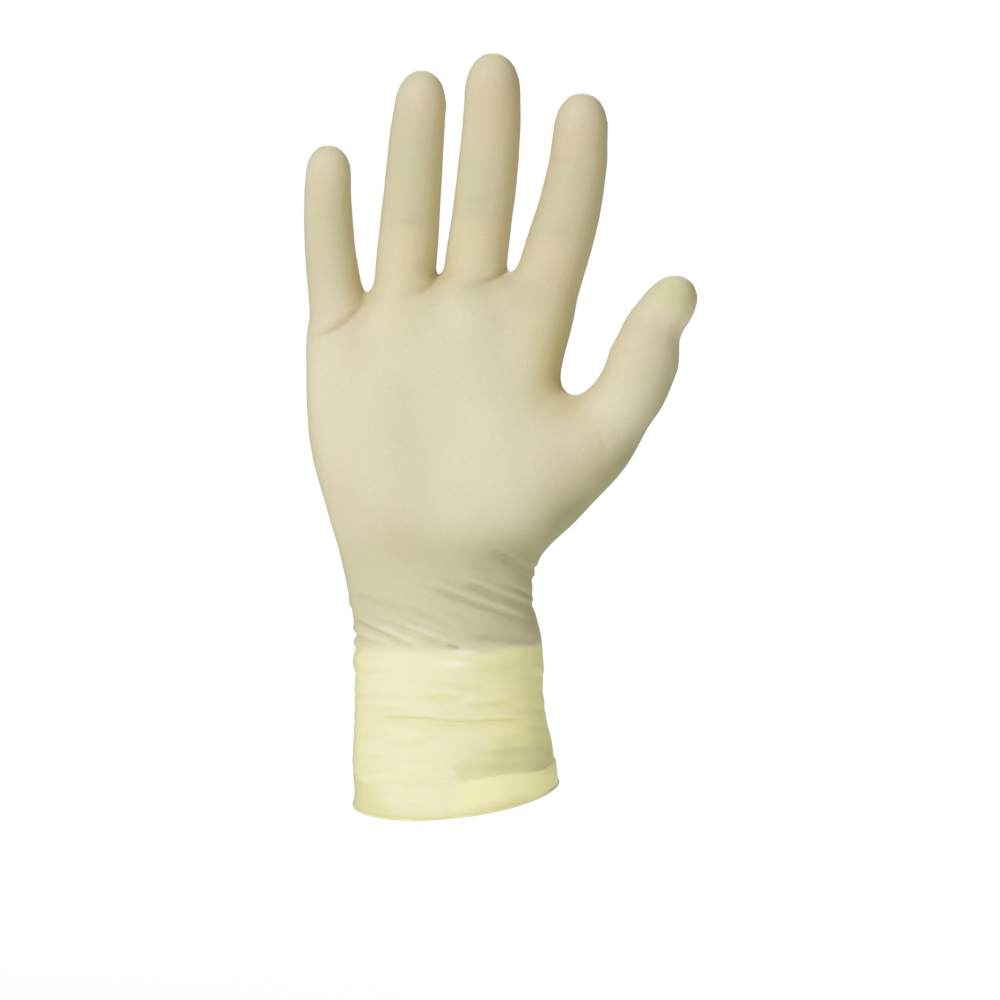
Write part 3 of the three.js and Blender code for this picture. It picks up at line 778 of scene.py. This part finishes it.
def surface_net(field, axes):
    """One vertex for each grid cell that the surface passes, and a face for each edge that it cuts."""
    inside = field < 0
    cell = (slice(0, -1), slice(1, None))
    count = sum(inside[cell[i], cell[j], cell[k]].astype(np.int8) for i, j, k in np.ndindex(2, 2, 2))
    active = np.argwhere((count > 0) & (count < 8))
    number = np.full(count.shape, -1, np.int64)
    number[tuple(active.T)] = np.arange(len(active))
    return net_points(field, axes, active), net_faces(inside, number)


def evened(vertices, faces):
    """Evens the vertices out without shrinking the form."""
    edges = np.concatenate([faces[:, [i, (i + 1) % 4]] for i in range(4)])
    edges = np.unique(np.sort(edges, axis=1), axis=0)
    count = len(vertices)
    degree = np.bincount(edges.ravel(), minlength=count)[:, None]
    for pull in EVEN_PULLS * EVEN_ROUNDS:
        total = np.zeros_like(vertices)
        for a, b in ((0, 1), (1, 0)):
            for d in range(3):
                total[:, d] += np.bincount(edges[:, a], vertices[edges[:, b], d], minlength=count)
        vertices = vertices + pull * (total / np.maximum(degree, 1) - vertices)
    return vertices


def crease_height(x, y, z, creases):
    """How far a table's creases lift the film, and how deep in a valley each point is, from 0 to 1."""
    height = np.zeros_like(x)
    valley = np.zeros_like(x)
    t = np.linspace(0, 1, CREASE_STEPS)
    for c in named_rows(creases, CREASE_COLUMNS):
        margin = CREASE_MARGIN * max(c["above"], c["below"])
        near = c["side"] * y > -SIDE_LAP
        line, ahead = [], []
        for name, places in (("x", x), ("z", z)):
            start, pull, end = (c[name + part] for part in ("_a", "_b", "_c"))
            near &= (places > min(start, pull, end) - margin) & (places < max(start, pull, end) + margin)
            line.append((1 - t) ** 2 * start + 2 * t * (1 - t) * pull + t * t * end)
            ahead.append(2 * (1 - t) * (pull - start) + 2 * t * (end - pull))
        steep = np.hypot(*ahead)
        px, py, pz = x[near], y[near], z[near]
        best = np.argmin((px[:, None] - line[0]) ** 2 + (pz[:, None] - line[1]) ** 2, axis=1)
        dx, dz = px - line[0][best], pz - line[1][best]
        ax, az = ahead[0][best] / steep[best], ahead[1][best] / steep[best]
        along = t[best] + (dx * ax + dz * az) / steep[best]
        across = (dz * ax - dx * az) * np.sign(ax)
        fade = rising(0.5 - np.abs(along - 0.5), 0, CREASE_FADE) * rising(c["side"] * py, -SIDE_LAP, 0)
        width = np.where(across > 0, c["above"], c["below"])
        dip = np.exp(-((across / width) ** 2)) * fade
        from_lip = (across - np.polyval(LIP_PLACE, c["above"])) / np.polyval(LIP_REACH, c["above"])
        height[near] += c["lip"] * np.exp(-(from_lip**2)) * fade - c["depth"] * dip
        valley[near] = np.maximum(valley[near], dip * min(c["depth"], 1))
    return height, valley


def knuckle_creases():
    """Three short creases across the back of each joint, the middle one longest."""
    rows = []
    for k in named_rows(KNUCKLES, KNUCKLE_COLUMNS):
        for step in (-1, 0, 1):
            half = k["width"] / 2 * (1 - 0.25 * abs(step))
            z = k["z"] + step * KNUCKLE_SPREAD
            rise = k["slope"] * half
            depth = KNUCKLE_DEPTH * (1 - 0.3 * abs(step))
            ends = (k["x"] - half, z - rise, k["x"], z - step * 0.8, k["x"] + half, z + rise)
            rows.append((*ends, depth, *KNUCKLE_REACH, depth * 0.5, 1))
    return tuple(rows)


def gather_height(x, y, z):
    """The wrist's fine gathers and the cuff's unevenness."""
    leaning = np.stack([x, y, z + GATHER_LEAN * x], axis=1)
    gathers = 0.42 * ridges(leaning, (22, 22, 3.4), 1) + 0.24 * ridges(leaning, (15, 15, 2.1), 2)
    in_wrist = rising(z, GATHER_LOW, GATHER_LOW + 4) * falling(z, GATHER_HIGH - 9, GATHER_HIGH)
    in_wrist *= 1 - 0.6 * rising(np.abs(x + 4), 26, 33)
    level = np.stack([x, y, z], axis=1)
    soft = 0.5 * (noise(level, (26, 26, 9), 3) - 0.5) + 0.34 * (noise(level, (19, 19, 3.4), 4) - 0.5)
    return in_wrist * gathers + falling(z, GATHER_LOW - 4, GATHER_LOW + 1) * soft


def swell_height(x, y, z):
    """How far the swells push the film out. Each reaches twice as far from palm to back as it does across."""
    height = np.zeros_like(x)
    for s in named_rows(SWELLS, SWELL_COLUMNS):
        away = ((x - s["x"]) ** 2 + (y - s["y"]) ** 2 * 0.25 + (z - s["z"]) ** 2) / s["reach"] ** 2
        height += s["height"] * np.exp(-away)
    return height


def lattice(pitch):
    """The grid's lines along X, Y and Z, whose steps in Z are finer where the film is folded."""
    low, high = Vector(CAD_LOW) / MM, Vector(CAD_HIGH) / MM
    xs = np.arange(low.x - GRID_MARGIN, high.x + GRID_MARGIN, pitch)
    ys = np.arange(low.y - GRID_MARGIN, high.y + GRID_MARGIN, pitch * DEPTH_SHARE)
    zs = [low.z - GRID_MARGIN]
    while zs[-1] < high.z + GRID_MARGIN:
        share = next((share for top, share in STEP_SHARES if zs[-1] < top), TOP_SHARE)
        zs.append(zs[-1] + pitch * share)
    return xs, ys, np.array(zs)


def triples(items, name):
    """What Blender holds as three numbers for each item, as rows."""
    flat = np.empty(len(items) * 3, np.float32)
    items.foreach_get(name, flat)
    return flat.reshape(-1, 3).astype(float)


def places_of(mesh):
    """Where the vertices of a mesh are, in millimetres."""
    return triples(mesh.vertices, "co") / MM


def normals(mesh):
    return triples(mesh.vertex_normals, "vector")


def move_to(mesh, places):
    mesh.vertices.foreach_set("co", (places * MM).astype(np.float32).ravel())


def add_attribute(mesh, name, values):
    attribute = mesh.attributes.new(name, "FLOAT", "POINT")
    attribute.data.foreach_set("value", values.astype(np.float32))


@contextmanager
def opened(mesh):
    """A mesh opened up for editing, which is written back at the end."""
    body = bmesh.new()
    body.from_mesh(mesh)
    yield body
    body.to_mesh(mesh)
    body.free()


def soften(body, vertices, pull):
    bmesh.ops.smooth_vert(
        body, verts=vertices, factor=pull, use_axis_x=True, use_axis_y=True, use_axis_z=True
    )


def split_valleys(mesh, creases):
    """Splits the faces that a crease crosses into finer ones, so that its edge can be crisp."""
    for least in SPLIT_VALLEYS:
        deep = crease_height(*places_of(mesh).T, creases)[1] > least
        with opened(mesh) as body:
            chosen = [e for e in body.edges if deep[e.verts[0].index] or deep[e.verts[1].index]]
            made = bmesh.ops.subdivide_edges(body, edges=chosen, cuts=1, use_grid_fill=True)
            fresh = [item for item in made["geom_inner"] if isinstance(item, bmesh.types.BMVert)]
            soften(body, fresh, SPLIT_PULL)


def settle_valleys(mesh, valley):
    """Evens the film out along its creases, where fine faces meet coarse ones."""
    with opened(mesh) as body:
        creased = [v for v in body.verts if valley[v.index] > SETTLE_FROM]
        for _ in range(SETTLE_ROUNDS):
            soften(body, creased, SETTLE_PULL)
        around = [f for f in body.faces if any(valley[v.index] > SETTLE_FROM for v in f.verts)]
        bmesh.ops.triangulate(body, faces=around, quad_method="SHORT_EDGE", ngon_method="BEAUTY")


def lower_by_mouth(mesh, sign):
    """Lowers the film by the mouth's height below each point, or raises it again."""
    places = places_of(mesh)
    places[:, 2] -= sign * mouth_height(places[:, 0], places[:, 1])
    move_to(mesh, places)


def cut_at_mouth(mesh):
    """Trims the film along the mouth."""
    lower_by_mouth(mesh, 1)
    with opened(mesh) as body:
        everything = body.verts[:] + body.edges[:] + body.faces[:]
        bmesh.ops.bisect_plane(body, geom=everything, dist=1e-6, plane_no=(0, 0, 1), clear_inner=True)
    lower_by_mouth(mesh, -1)


# Beside x, y and z, the numbers in the three functions that paint the film are places in millimetres, and
# beside facing they are how far the film turns to the thumb's side. The others are strengths.
def paint_fingers(mesh, x, y, z, palm_side):
    """Stores where the film is stretched over the fingers, and where it is rosy, golden or loose there."""
    foot = FINGER_FOOT - FINGER_FOOT_DROP * rising(-x, 28, 36)
    on_finger = rising(z, foot, foot + 42) * rising(38 + 0.1 * z - x, -6, 6)
    add_attribute(mesh, "on_finger", on_finger + 0.4 * patch(x, z, *THUMB_ROOT))
    mottle = noise(np.stack([x, y, z], axis=1), (9, 9, 9), 7)
    rosy = patches(x, z, ROSY_PATCHES) * (0.3 + 0.4 * palm_side) * (0.7 + 0.6 * mottle)
    add_attribute(mesh, "rosy", np.clip(rosy, 0, 1))
    golden = np.zeros_like(x)
    for *place, strength, top in GOLDEN_ROOTS:
        golden += strength * patch(x, z, *place) * falling(z + 0.1 * x, top - 1.2, top + 0.6)
    add_attribute(mesh, "golden", np.clip(golden, 0, 1) * palm_side)
    add_attribute(mesh, "at_joint", 0.85 * np.clip(patches(x, z, JOINT_PATCHES), 0, 1))
    add_attribute(mesh, "spare_tip", 0.9 * patch(x, z, *SPARE_TIP))


def paint_palm(mesh, x, z, palm_side):
    """Stores the wrist's gathers with painted shade, painted shade where the film turns from the light, and
    painted highlights.
    """
    facing = normals(mesh)[:, 0]
    on_thumb = rising(x, 36, 50) * falling(z, 172, 180)
    # Gathered film at the wrist, with painted shade where the heel turns down from the light.
    add_attribute(mesh, "gathered_and_shaded", rising(z, 50, 60) * falling(z, 80, 104))
    # Painted shade on the heel, the wrist and the side of the thumb that faces away from the light.
    painted_shade = patches(x, z, SHADE_PATCHES)
    painted_shade += (0.4 - 0.25 * rising(z, 136, 156)) * on_thumb * rising(facing, 0.4, 0.95)
    add_attribute(mesh, "painted_shade", np.clip(painted_shade, 0, 1) * rising(z, 55, 62))
    # Painted shade: the digits' flanks that turn from the light, darkest towards the thumb, and patches in
    # the webs.
    deep = 0.6 * rising(facing, 0.1, 0.95) * (1 - 0.6 * on_thumb) * (1 - 0.3 * rising(facing, 0.85, 1))
    deep += 0.3 * rising(-facing, 0.55, 0.95) * falling(z, 150, 165) + patches(x, z, FLANK_SHADE_PATCHES)
    add_attribute(mesh, "painted_flank_shade", np.clip(deep, 0, 1) * rising(z, 96, 120))
    # Painted highlights: pale spots on the cuff and wrist, the fingertips, and the fingers' flanks that face
    # the light.
    pressed = patches(x, z, HIGHLIGHT_PATCHES)
    pressed += 0.16 * rising(-facing, 0.35, 0.9) * rising(z, 188, 205) * falling(x, 22, 28)
    add_attribute(mesh, "painted_highlight", np.clip(pressed, 0, 1) * palm_side)


def paint_cuff(mesh, x, y, z):
    """Stores where the pale cuff starts, where painted shade and painted light lie on it, where it is doubled
    into the band and where it turns yellower at the rim.
    """
    places = np.stack([x, y, z], axis=1)
    ripple = 1.6 * (noise(places, (9, 9, 9), 5) - 0.5)
    edge = PALE_EDGE + 0.3 * rising(x, 8, 26) - 1.2 * np.exp(-(((x - 6) / 13) ** 2)) + ripple
    crisp = 2.3 - 1.8 * rising(x, 2, 22)
    in_cuff = falling(z, edge - 1.4 * crisp, edge + crisp)
    add_attribute(mesh, "in_cuff", np.maximum(in_cuff, 0.35 * patch(x, z, *GREY_HEM)))
    below_edge = falling(z, edge - 2, edge + 1)
    band = band_height(x, y)
    in_band = falling(z, band - 0.3, band + 0.2)
    # Painted light: the cuff's flanks tinted lighter and yellower, as where light comes through more film.
    flank_light = rising(x, 0, 30) + (0.5 + 0.5 * in_band) * rising(-x, 28 - 5 * in_band, 38)
    add_attribute(mesh, "painted_flank_light", flank_light * below_edge)
    rough = noise(places, (7, 7, 4), 6)
    streaky = noise(places, (13, 13, 2), 8)
    # Painted shade on the front of the cuff above the band, along the cuff's left edge and in one fold.
    cuff_shade = rising(x + 5 * rough + 6 * streaky, 4.2, 8) * (1 - in_band)
    cuff_shade *= falling(z + 9 * rough - 6 * rising(x, 6, 20), 15, 25)
    cuff_shade *= rising(-y, 0, 8) * (0.8 + 0.5 * (rough - 0.5) + 0.6 * (streaky - 0.5))
    far_edge = 0.6 * in_band * rising(-x, 22, 35) + 0.4 * below_edge * rising(-x, 33, 37)
    add_attribute(mesh, "painted_cuff_shade", cuff_shade + far_edge + 0.3 * patch(x, z, *SHADED_FOLD))
    # The doubled film of the band, painted lighter towards the thumb, where it catches the light.
    add_attribute(mesh, "doubled", in_band * rising(x, -6, 14))
    # Painted light: the band's end on the thumb's side made bright, where it catches the light.
    add_attribute(mesh, "painted_band_glow", in_band * rising(x, 20, 32))
    glow = 0.35 + 0.55 * rising(-x, 10, 26) + 0.55 * rising(x, 0, 16)
    glow *= falling(z - mouth_height(x, y), 0, 5 + 9 * rising(-x, 18, 34))
    add_attribute(mesh, "near_rim", glow * (1 - 0.6 * rising(-x, 28, 36)))


def add_node(tree, kind, settings=None):
    """A node of a tree. Each setting, a value or another node's output, goes to an attribute or an input."""
    node = tree.nodes.new(kind)
    for name, value in (settings or {}).items():
        if isinstance(name, str) and hasattr(node, name):
            setattr(node, name, value)
        elif isinstance(value, bpy.types.NodeSocket):
            tree.links.new(value, node.inputs[name])
        else:
            node.inputs[name].default_value = value
    return node


def layered(tree, colour, layers):
    """A colour under layers of others, each by an amount: a node's output or the name of a stored one."""
    for amount, over in layers:
        if isinstance(amount, str):
            amount = add_node(tree, "ShaderNodeAttribute", {"attribute_name": amount}).outputs["Fac"]
        mix = add_node(tree, "ShaderNodeMix", {"data_type": "RGBA", 0: amount, 6: colour, 7: over})
        colour = mix.outputs[2]
    return colour


def film_colour(tree, amounts, colours):
    """The film's colour: the palm's, under a layer for each amount that the patterns or the painting give."""
    cuff = layered(tree, colours.cuff, ((amounts["streaks"], colours.streak),))
    layers = (
        (amounts["clouding"], colours.thick),
        ("on_finger", colours.finger),
        ("rosy", colours.flush),
        ("golden", colours.golden),
        ("at_joint", colours.joint),
        ("spare_tip", colours.fingertip),
        ("painted_flank_shade", colours.deep),
        ("gathered_and_shaded", colours.gathered_and_shaded),
        ("painted_shade", colours.painted_shade),
        ("in_cuff", cuff),
        ("painted_highlight", colours.pressed),
        ("painted_flank_light", colours.side),
        ("painted_cuff_shade", colours.shade),
        ("doubled", colours.doubled),
        ("near_rim", colours.band),
        ("painted_band_glow", colours.painted_band_glow),
    )
    # The bottoms of the creases are painted darker: painted shade, and in the cuff also the yellower film
    # lying there.
    valley = add_node(tree, "ShaderNodeAttribute", {"attribute_name": "in_valley"})
    share = {"operation": "MULTIPLY", 0: valley.outputs["Fac"], 1: CREASE_SHADE_SHARE}
    below = layered(tree, colours.root, (("gathered_and_shaded", colours.valley), ("in_cuff", colours.streak)))
    layers += ((add_node(tree, "ShaderNodeMath", share).outputs[0], below),)
    return layered(tree, colours.palm, layers)


def dipped_latex(name, colours, is_roll):
    """Natural rubber latex, dipped and chlorinated: a soft matt film, greener where it is thicker."""
    material = bpy.data.materials.new(name)
    material.use_nodes = True
    tree = material.node_tree
    place = add_node(tree, "ShaderNodeTexCoord").outputs["Object"]
    noises, amounts = {}, {}
    for title, size, detail, roughness, low, high, most in ROLL_PATTERNS if is_roll else FILM_PATTERNS:
        scaling = {"operation": "DIVIDE", 0: place, 1: [length * MM for length in size]}
        scaled = add_node(tree, "ShaderNodeVectorMath", scaling).outputs[0]
        drift = {"Scale": 1, "Detail": detail, "Roughness": roughness, "Vector": scaled}
        noises[title] = add_node(tree, "ShaderNodeTexNoise", drift).outputs["Fac"]
        span = {"Value": noises[title], "From Min": low, "From Max": high, "To Max": most}
        amounts[title] = add_node(tree, "ShaderNodeMapRange", span).outputs["Result"]
    if is_roll:
        colour = layered(tree, colours.roll, ((amounts["layers"], colours.band),))
    else:
        colour = film_colour(tree, amounts, colours)
    # The grain's dark specks show less in the pale cuff.
    cuff = add_node(tree, "ShaderNodeAttribute", {"attribute_name": "in_cuff"})
    calm = add_node(tree, "ShaderNodeMapRange", {"Value": cuff.outputs["Fac"], "To Min": 1, "To Max": 0.45})
    dark = {"operation": "MULTIPLY", 0: amounts["grain"], 1: calm.outputs["Result"]}
    specks = add_node(tree, "ShaderNodeMath", dark).outputs[0]
    relief = {"Strength": 0.2, "Distance": 0.3 * MM, "Height": noises["grain"]}
    bump = add_node(tree, "ShaderNodeBump", relief)
    shader = tree.nodes["Principled BSDF"]
    shader.inputs["Roughness"].default_value = 0.6
    shader.inputs["IOR"].default_value = 1.52
    shader.inputs["Specular IOR Level"].default_value = 0.3
    tree.links.new(layered(tree, colour, ((specks, colours.valley),)), shader.inputs["Base Color"])
    tree.links.new(bump.outputs["Normal"], shader.inputs["Normal"])
    return material


def new_object(name, data):
    made = bpy.data.objects.new(name, data)
    bpy.context.scene.collection.objects.link(made)
    return made


def rim_loop(mesh):
    """The film's open edge at the mouth, as points in order."""
    body = bmesh.new()
    body.from_mesh(mesh)
    open_edges = [e for e in body.edges if e.is_boundary]
    neighbours = {}
    for e in open_edges:
        for a, b in (e.verts, reversed(e.verts)):
            neighbours.setdefault(a, []).append(b)
    start = open_edges[0].verts[0]
    loop, before, at = [], None, start
    while at is not start or before is None:
        loop.append(at.co.copy())
        before, at = at, next(v for v in neighbours[at] if v is not before)
    body.free()
    return loop


class GLOVE_OT_dip_film(bpy.types.Operator):
    """Make the glove's film: the digits, palm, wrist and cuff as one thin wall"""

    bl_idname = "glove.dip_film"
    bl_label = "Dip the Film"

    def execute(self, context):
        settings = context.scene.glove_film
        axes = lattice(settings.pitch / MM)
        vertices, faces = surface_net(film_field(axes), axes)
        mesh = bpy.data.meshes.new("glove_film")
        mesh.from_pydata((evened(vertices, faces) * MM).tolist(), [], faces.tolist())
        split_valleys(mesh, WRIST_CREASES + CUFF_CREASES + ROOT_CREASES)
        valley = self.fold(mesh, settings)
        settle_valleys(mesh, valley)
        add_attribute(mesh, "in_valley", valley)
        cut_at_mouth(mesh)
        x, y, z = places_of(mesh).T
        palm_side = rising(-y, -6, 8)
        paint_fingers(mesh, x, y, z, palm_side)
        paint_palm(mesh, x, z, palm_side)
        paint_cuff(mesh, x, y, z)
        mesh.polygons.foreach_set("use_smooth", [True] * len(mesh.polygons))
        mesh.materials.append(dipped_latex("dipped_latex_film", context.scene.glove_latex, False))
        film = new_object("glove_film", mesh)
        wall = film.modifiers.new("film_wall", "SOLIDIFY")
        wall.thickness = settings.thickness
        wall.offset = -1
        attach(film, "root")
        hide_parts("glove")
        return {"FINISHED"}

    def fold(self, mesh, settings):
        """Lifts the film into its creases, gathers and band, and gives how deep in a valley each point is."""
        x, y, z = places_of(mesh).T
        folds, valley = crease_height(x, y, z, WRIST_CREASES + CUFF_CREASES)
        lift = (folds + gather_height(x, y, z)) * settings.fold_strength
        palm_folds, palm_valley = crease_height(x, y, z, ROOT_CREASES + knuckle_creases())
        lift += palm_folds + swell_height(x, y, z)
        band = band_height(x, y)
        proud = settings.band_proud / MM * (0.35 + 0.65 * rising(x, -2, 8))
        lift += proud * falling(z, band - 0.35, band + 0.25)
        move_to(mesh, places_of(mesh) + normals(mesh) * lift[:, None])
        mesh.update()
        return np.maximum(valley, palm_valley)


def rim_tree(material):
    """Geometry Nodes that sweep a slightly uneven roll along a loop of edges."""
    tree = bpy.data.node_groups.new("rolled_rim", "GeometryNodeTree")
    face = tree.interface
    face.new_socket("Geometry", in_out="INPUT", socket_type="NodeSocketGeometry")
    face.new_socket("Geometry", in_out="OUTPUT", socket_type="NodeSocketGeometry")
    sizes = {}
    for name, kind in (("Diameter", "Float"), ("Unevenness", "Float"), ("Steps", "Int"), ("Sides", "Int")):
        sizes[name] = face.new_socket(name, in_out="INPUT", socket_type="NodeSocket" + kind).identifier
    inputs = add_node(tree, "NodeGroupInput").outputs
    curve = add_node(tree, "GeometryNodeMeshToCurve", {"Mesh": inputs["Geometry"]})
    rings = {"Curve": curve.outputs[0], "Count": inputs["Steps"]}
    even = add_node(tree, "GeometryNodeResampleCurve", rings)
    # The roll swells and thins over lengths of about 17 mm.
    wander = add_node(tree, "ShaderNodeTexNoise", {"Scale": 60, "Detail": 1})
    centred = add_node(tree, "ShaderNodeMath", {"operation": "SUBTRACT", 0: wander.outputs["Fac"], 1: 0.5})
    swing = {"operation": "MULTIPLY_ADD", 0: centred.outputs[0], 1: inputs["Unevenness"], 2: 0.5}
    share = add_node(tree, "ShaderNodeMath", swing)
    size = {"operation": "MULTIPLY", 0: share.outputs[0], 1: inputs["Diameter"]}
    radius = add_node(tree, "ShaderNodeMath", size)
    circle = add_node(tree, "GeometryNodeCurvePrimitiveCircle", {"Radius": 1, "Resolution": inputs["Sides"]})
    sweep = {"Curve": even.outputs[0], "Profile Curve": circle.outputs[0], "Scale": radius.outputs[0]}
    roll = add_node(tree, "GeometryNodeCurveToMesh", sweep)
    shaded = add_node(tree, "GeometryNodeSetShadeSmooth", {"Geometry": roll.outputs[0]})
    real = add_node(tree, "GeometryNodeRealizeInstances", {"Geometry": shaded.outputs[0]})
    finish = add_node(tree, "GeometryNodeSetMaterial", {"Geometry": real.outputs[0], "Material": material})
    add_node(tree, "NodeGroupOutput", {"Geometry": finish.outputs[0]})
    return tree, sizes


class GLOVE_OT_roll_rim(bpy.types.Operator):
    """Make the rolled rim along the film's open edge"""

    bl_idname = "glove.roll_rim"
    bl_label = "Roll the Rim"

    def execute(self, context):
        settings = context.scene.glove_rim
        loop = rim_loop(bpy.data.objects["glove_film"].data)
        count = len(loop)
        for point in loop:
            point -= Vector((point.x, point.y, 0)).normalized() * settings.sunk
        mesh = bpy.data.meshes.new("rim_line")
        mesh.from_pydata(loop, [(i, (i + 1) % count) for i in range(count)], [])
        line = new_object("rim_line", mesh)
        material = dipped_latex("dipped_latex_roll", context.scene.glove_latex, True)
        sweep = line.modifiers.new("sweep", "NODES")
        sweep.node_group, sizes = rim_tree(material)
        for name, identifier in sizes.items():
            sweep[identifier] = getattr(settings, name.lower())
        context.view_layer.update()
        made = bpy.data.meshes.new_from_object(line.evaluated_get(context.evaluated_depsgraph_get()))
        bpy.data.objects.remove(line)
        made.name = "rolled_rim"
        made.materials.clear()
        made.materials.append(material)
        rim = new_object("rolled_rim", made)
        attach(rim, "root")
        return {"FINISHED"}


def area_light(name, place, aim, size, power, colour=(1, 1, 1)):
    data = bpy.data.lights.new(name, "AREA")
    data.shape = "DISK"
    data.size = size
    data.energy = power
    data.color = colour
    light = new_object(name, data)
    light.location = place
    light.rotation_euler = (Vector(aim) - Vector(place)).to_track_quat("-Z", "Y").to_euler()


def opal_board(reach, glow):
    """Opal acrylic lit a little from below, which fades into the white of the studio towards its edge."""
    material = bpy.data.materials.new("opal_studio_board")
    material.use_nodes = True
    tree = material.node_tree
    place = add_node(tree, "ShaderNodeTexCoord").outputs["Object"]
    mottle = add_node(tree, "ShaderNodeTexNoise", {"Scale": 3, "Detail": 2, "Vector": place})
    tints = {"data_type": "RGBA", 0: mottle.outputs["Fac"], 6: linear("fafaf8"), 7: linear("fdfdfc")}
    colour = add_node(tree, "ShaderNodeMix", tints).outputs[2]
    shader = tree.nodes["Principled BSDF"]
    shader.inputs["Roughness"].default_value = 0.9
    shader.inputs["Specular IOR Level"].default_value = 0.1
    shader.inputs["Emission Color"].default_value = (1, 1, 1, 1)
    shader.inputs["Emission Strength"].default_value = glow
    tree.links.new(colour, shader.inputs["Base Color"])
    away = add_node(tree, "ShaderNodeVectorMath", {"operation": "LENGTH", 0: place})
    span = {"Value": away.outputs["Value"], "From Min": FADE_START * reach, "From Max": reach}
    fade = add_node(tree, "ShaderNodeMapRange", {"interpolation_type": "SMOOTHSTEP", **span})
    clear = add_node(tree, "ShaderNodeBsdfTransparent")
    layers = {"Fac": fade.outputs["Result"], 1: shader.outputs[0], 2: clear.outputs[0]}
    mix = add_node(tree, "ShaderNodeMixShader", layers)
    tree.links.new(mix.outputs[0], tree.nodes["Material Output"].inputs["Surface"])
    return material


def light_world(scene, strength):
    """Even light from all round, seen by the camera as the white of the studio."""
    world = bpy.data.worlds.new("studio")
    scene.world = world
    world.use_nodes = True
    tree = world.node_tree
    tree.nodes.clear()
    around = add_node(tree, "ShaderNodeBackground", {"Color": (1, 1, 1, 1), "Strength": strength})
    seen = add_node(tree, "ShaderNodeBackground", {"Color": (1, 1, 1, 1), "Strength": 1})
    path = add_node(tree, "ShaderNodeLightPath")
    layers = {"Fac": path.outputs["Is Camera Ray"], 1: around.outputs[0], 2: seen.outputs[0]}
    mix = add_node(tree, "ShaderNodeMixShader", layers)
    add_node(tree, "ShaderNodeOutputWorld", {"Surface": mix.outputs[0]})


class GLOVE_OT_set_studio(bpy.types.Operator):
    """Set the floor, the lights and the camera"""

    bl_idname = "glove.set_studio"
    bl_label = "Set the Studio"

    def execute(self, context):
        scene = context.scene
        settings = scene.glove_studio
        mesh = bpy.data.meshes.new("studio_floor")
        with opened(mesh) as body:
            bmesh.ops.create_circle(body, cap_ends=True, segments=96, radius=settings.floor_reach)
        mesh.materials.append(opal_board(settings.floor_reach, settings.glow))
        floor = new_object("studio_floor", mesh)
        floor.location.z = -settings.floor_drop
        aim = Vector((settings.aim_x, 0, settings.aim_z))
        area_light("key_light", (-1.2, -1.55, 1.15), aim, 0.9, settings.key)
        area_light("top_light", (0.1, 0.5, 2.2), aim, 2.2, settings.top)
        area_light("fill_light", (1.5, -1.3, 0.3), aim, 1.2, settings.fill, settings.warmth[:3])
        area_light("back_light", (0.3, 2.1, 1.3), aim, 1.2, settings.back)
        light_world(scene, settings.ambient)
        data = bpy.data.cameras.new("camera")
        data.lens = data.sensor_width * settings.distance / settings.framed
        data.clip_end = 60
        camera = new_object("camera", data)
        camera.location = aim + Vector((0, -settings.distance, 0))
        camera.rotation_euler = (math.radians(90), 0, 0)
        scene.camera = camera
        scene.view_settings.view_transform = "Standard"
        return {"FINISHED"}


class GLOVE_PT_panel(bpy.types.Panel):
    """Lists the glove's pieces and their sizes"""

    bl_idname = "GLOVE_PT_panel"
    bl_label = "Cleanroom Glove"
    bl_space_type = "VIEW_3D"
    bl_region_type = "UI"
    bl_category = "Glove"

    def draw(self, context):
        for operator, owners in STEPS.items():
            box = self.layout.box()
            box.operator(operator)
            for owner in owners:
                settings = getattr(context.scene, owner)
                for name in settings.bl_rna.properties.keys():
                    if name not in ("rna_type", "name"):
                        box.prop(settings, name)


STEPS = {
    "glove.dip_film": ("glove_film", "glove_latex"),
    "glove.roll_rim": ("glove_rim",),
    "glove.set_studio": ("glove_studio",),
}
SETTINGS = {
    "glove_film": FilmSettings,
    "glove_rim": RimSettings,
    "glove_latex": LatexSettings,
    "glove_studio": StudioSettings,
}
CLASSES = (GLOVE_OT_dip_film, GLOVE_OT_roll_rim, GLOVE_OT_set_studio, GLOVE_PT_panel)


def register():
    for name, group in SETTINGS.items():
        bpy.utils.register_class(group)
        setattr(bpy.types.Scene, name, PointerProperty(type=group))
    for item in CLASSES:
        bpy.utils.register_class(item)


def unregister():
    for item in reversed(CLASSES):
        bpy.utils.unregister_class(item)
    for name, group in reversed(SETTINGS.items()):
        delattr(bpy.types.Scene, name)
        bpy.utils.unregister_class(group)


def main():
    register()
    bpy.ops.glove.dip_film()
    bpy.ops.glove.roll_rim()
    bpy.ops.glove.set_studio()


if __name__ == "__main__":
    main()
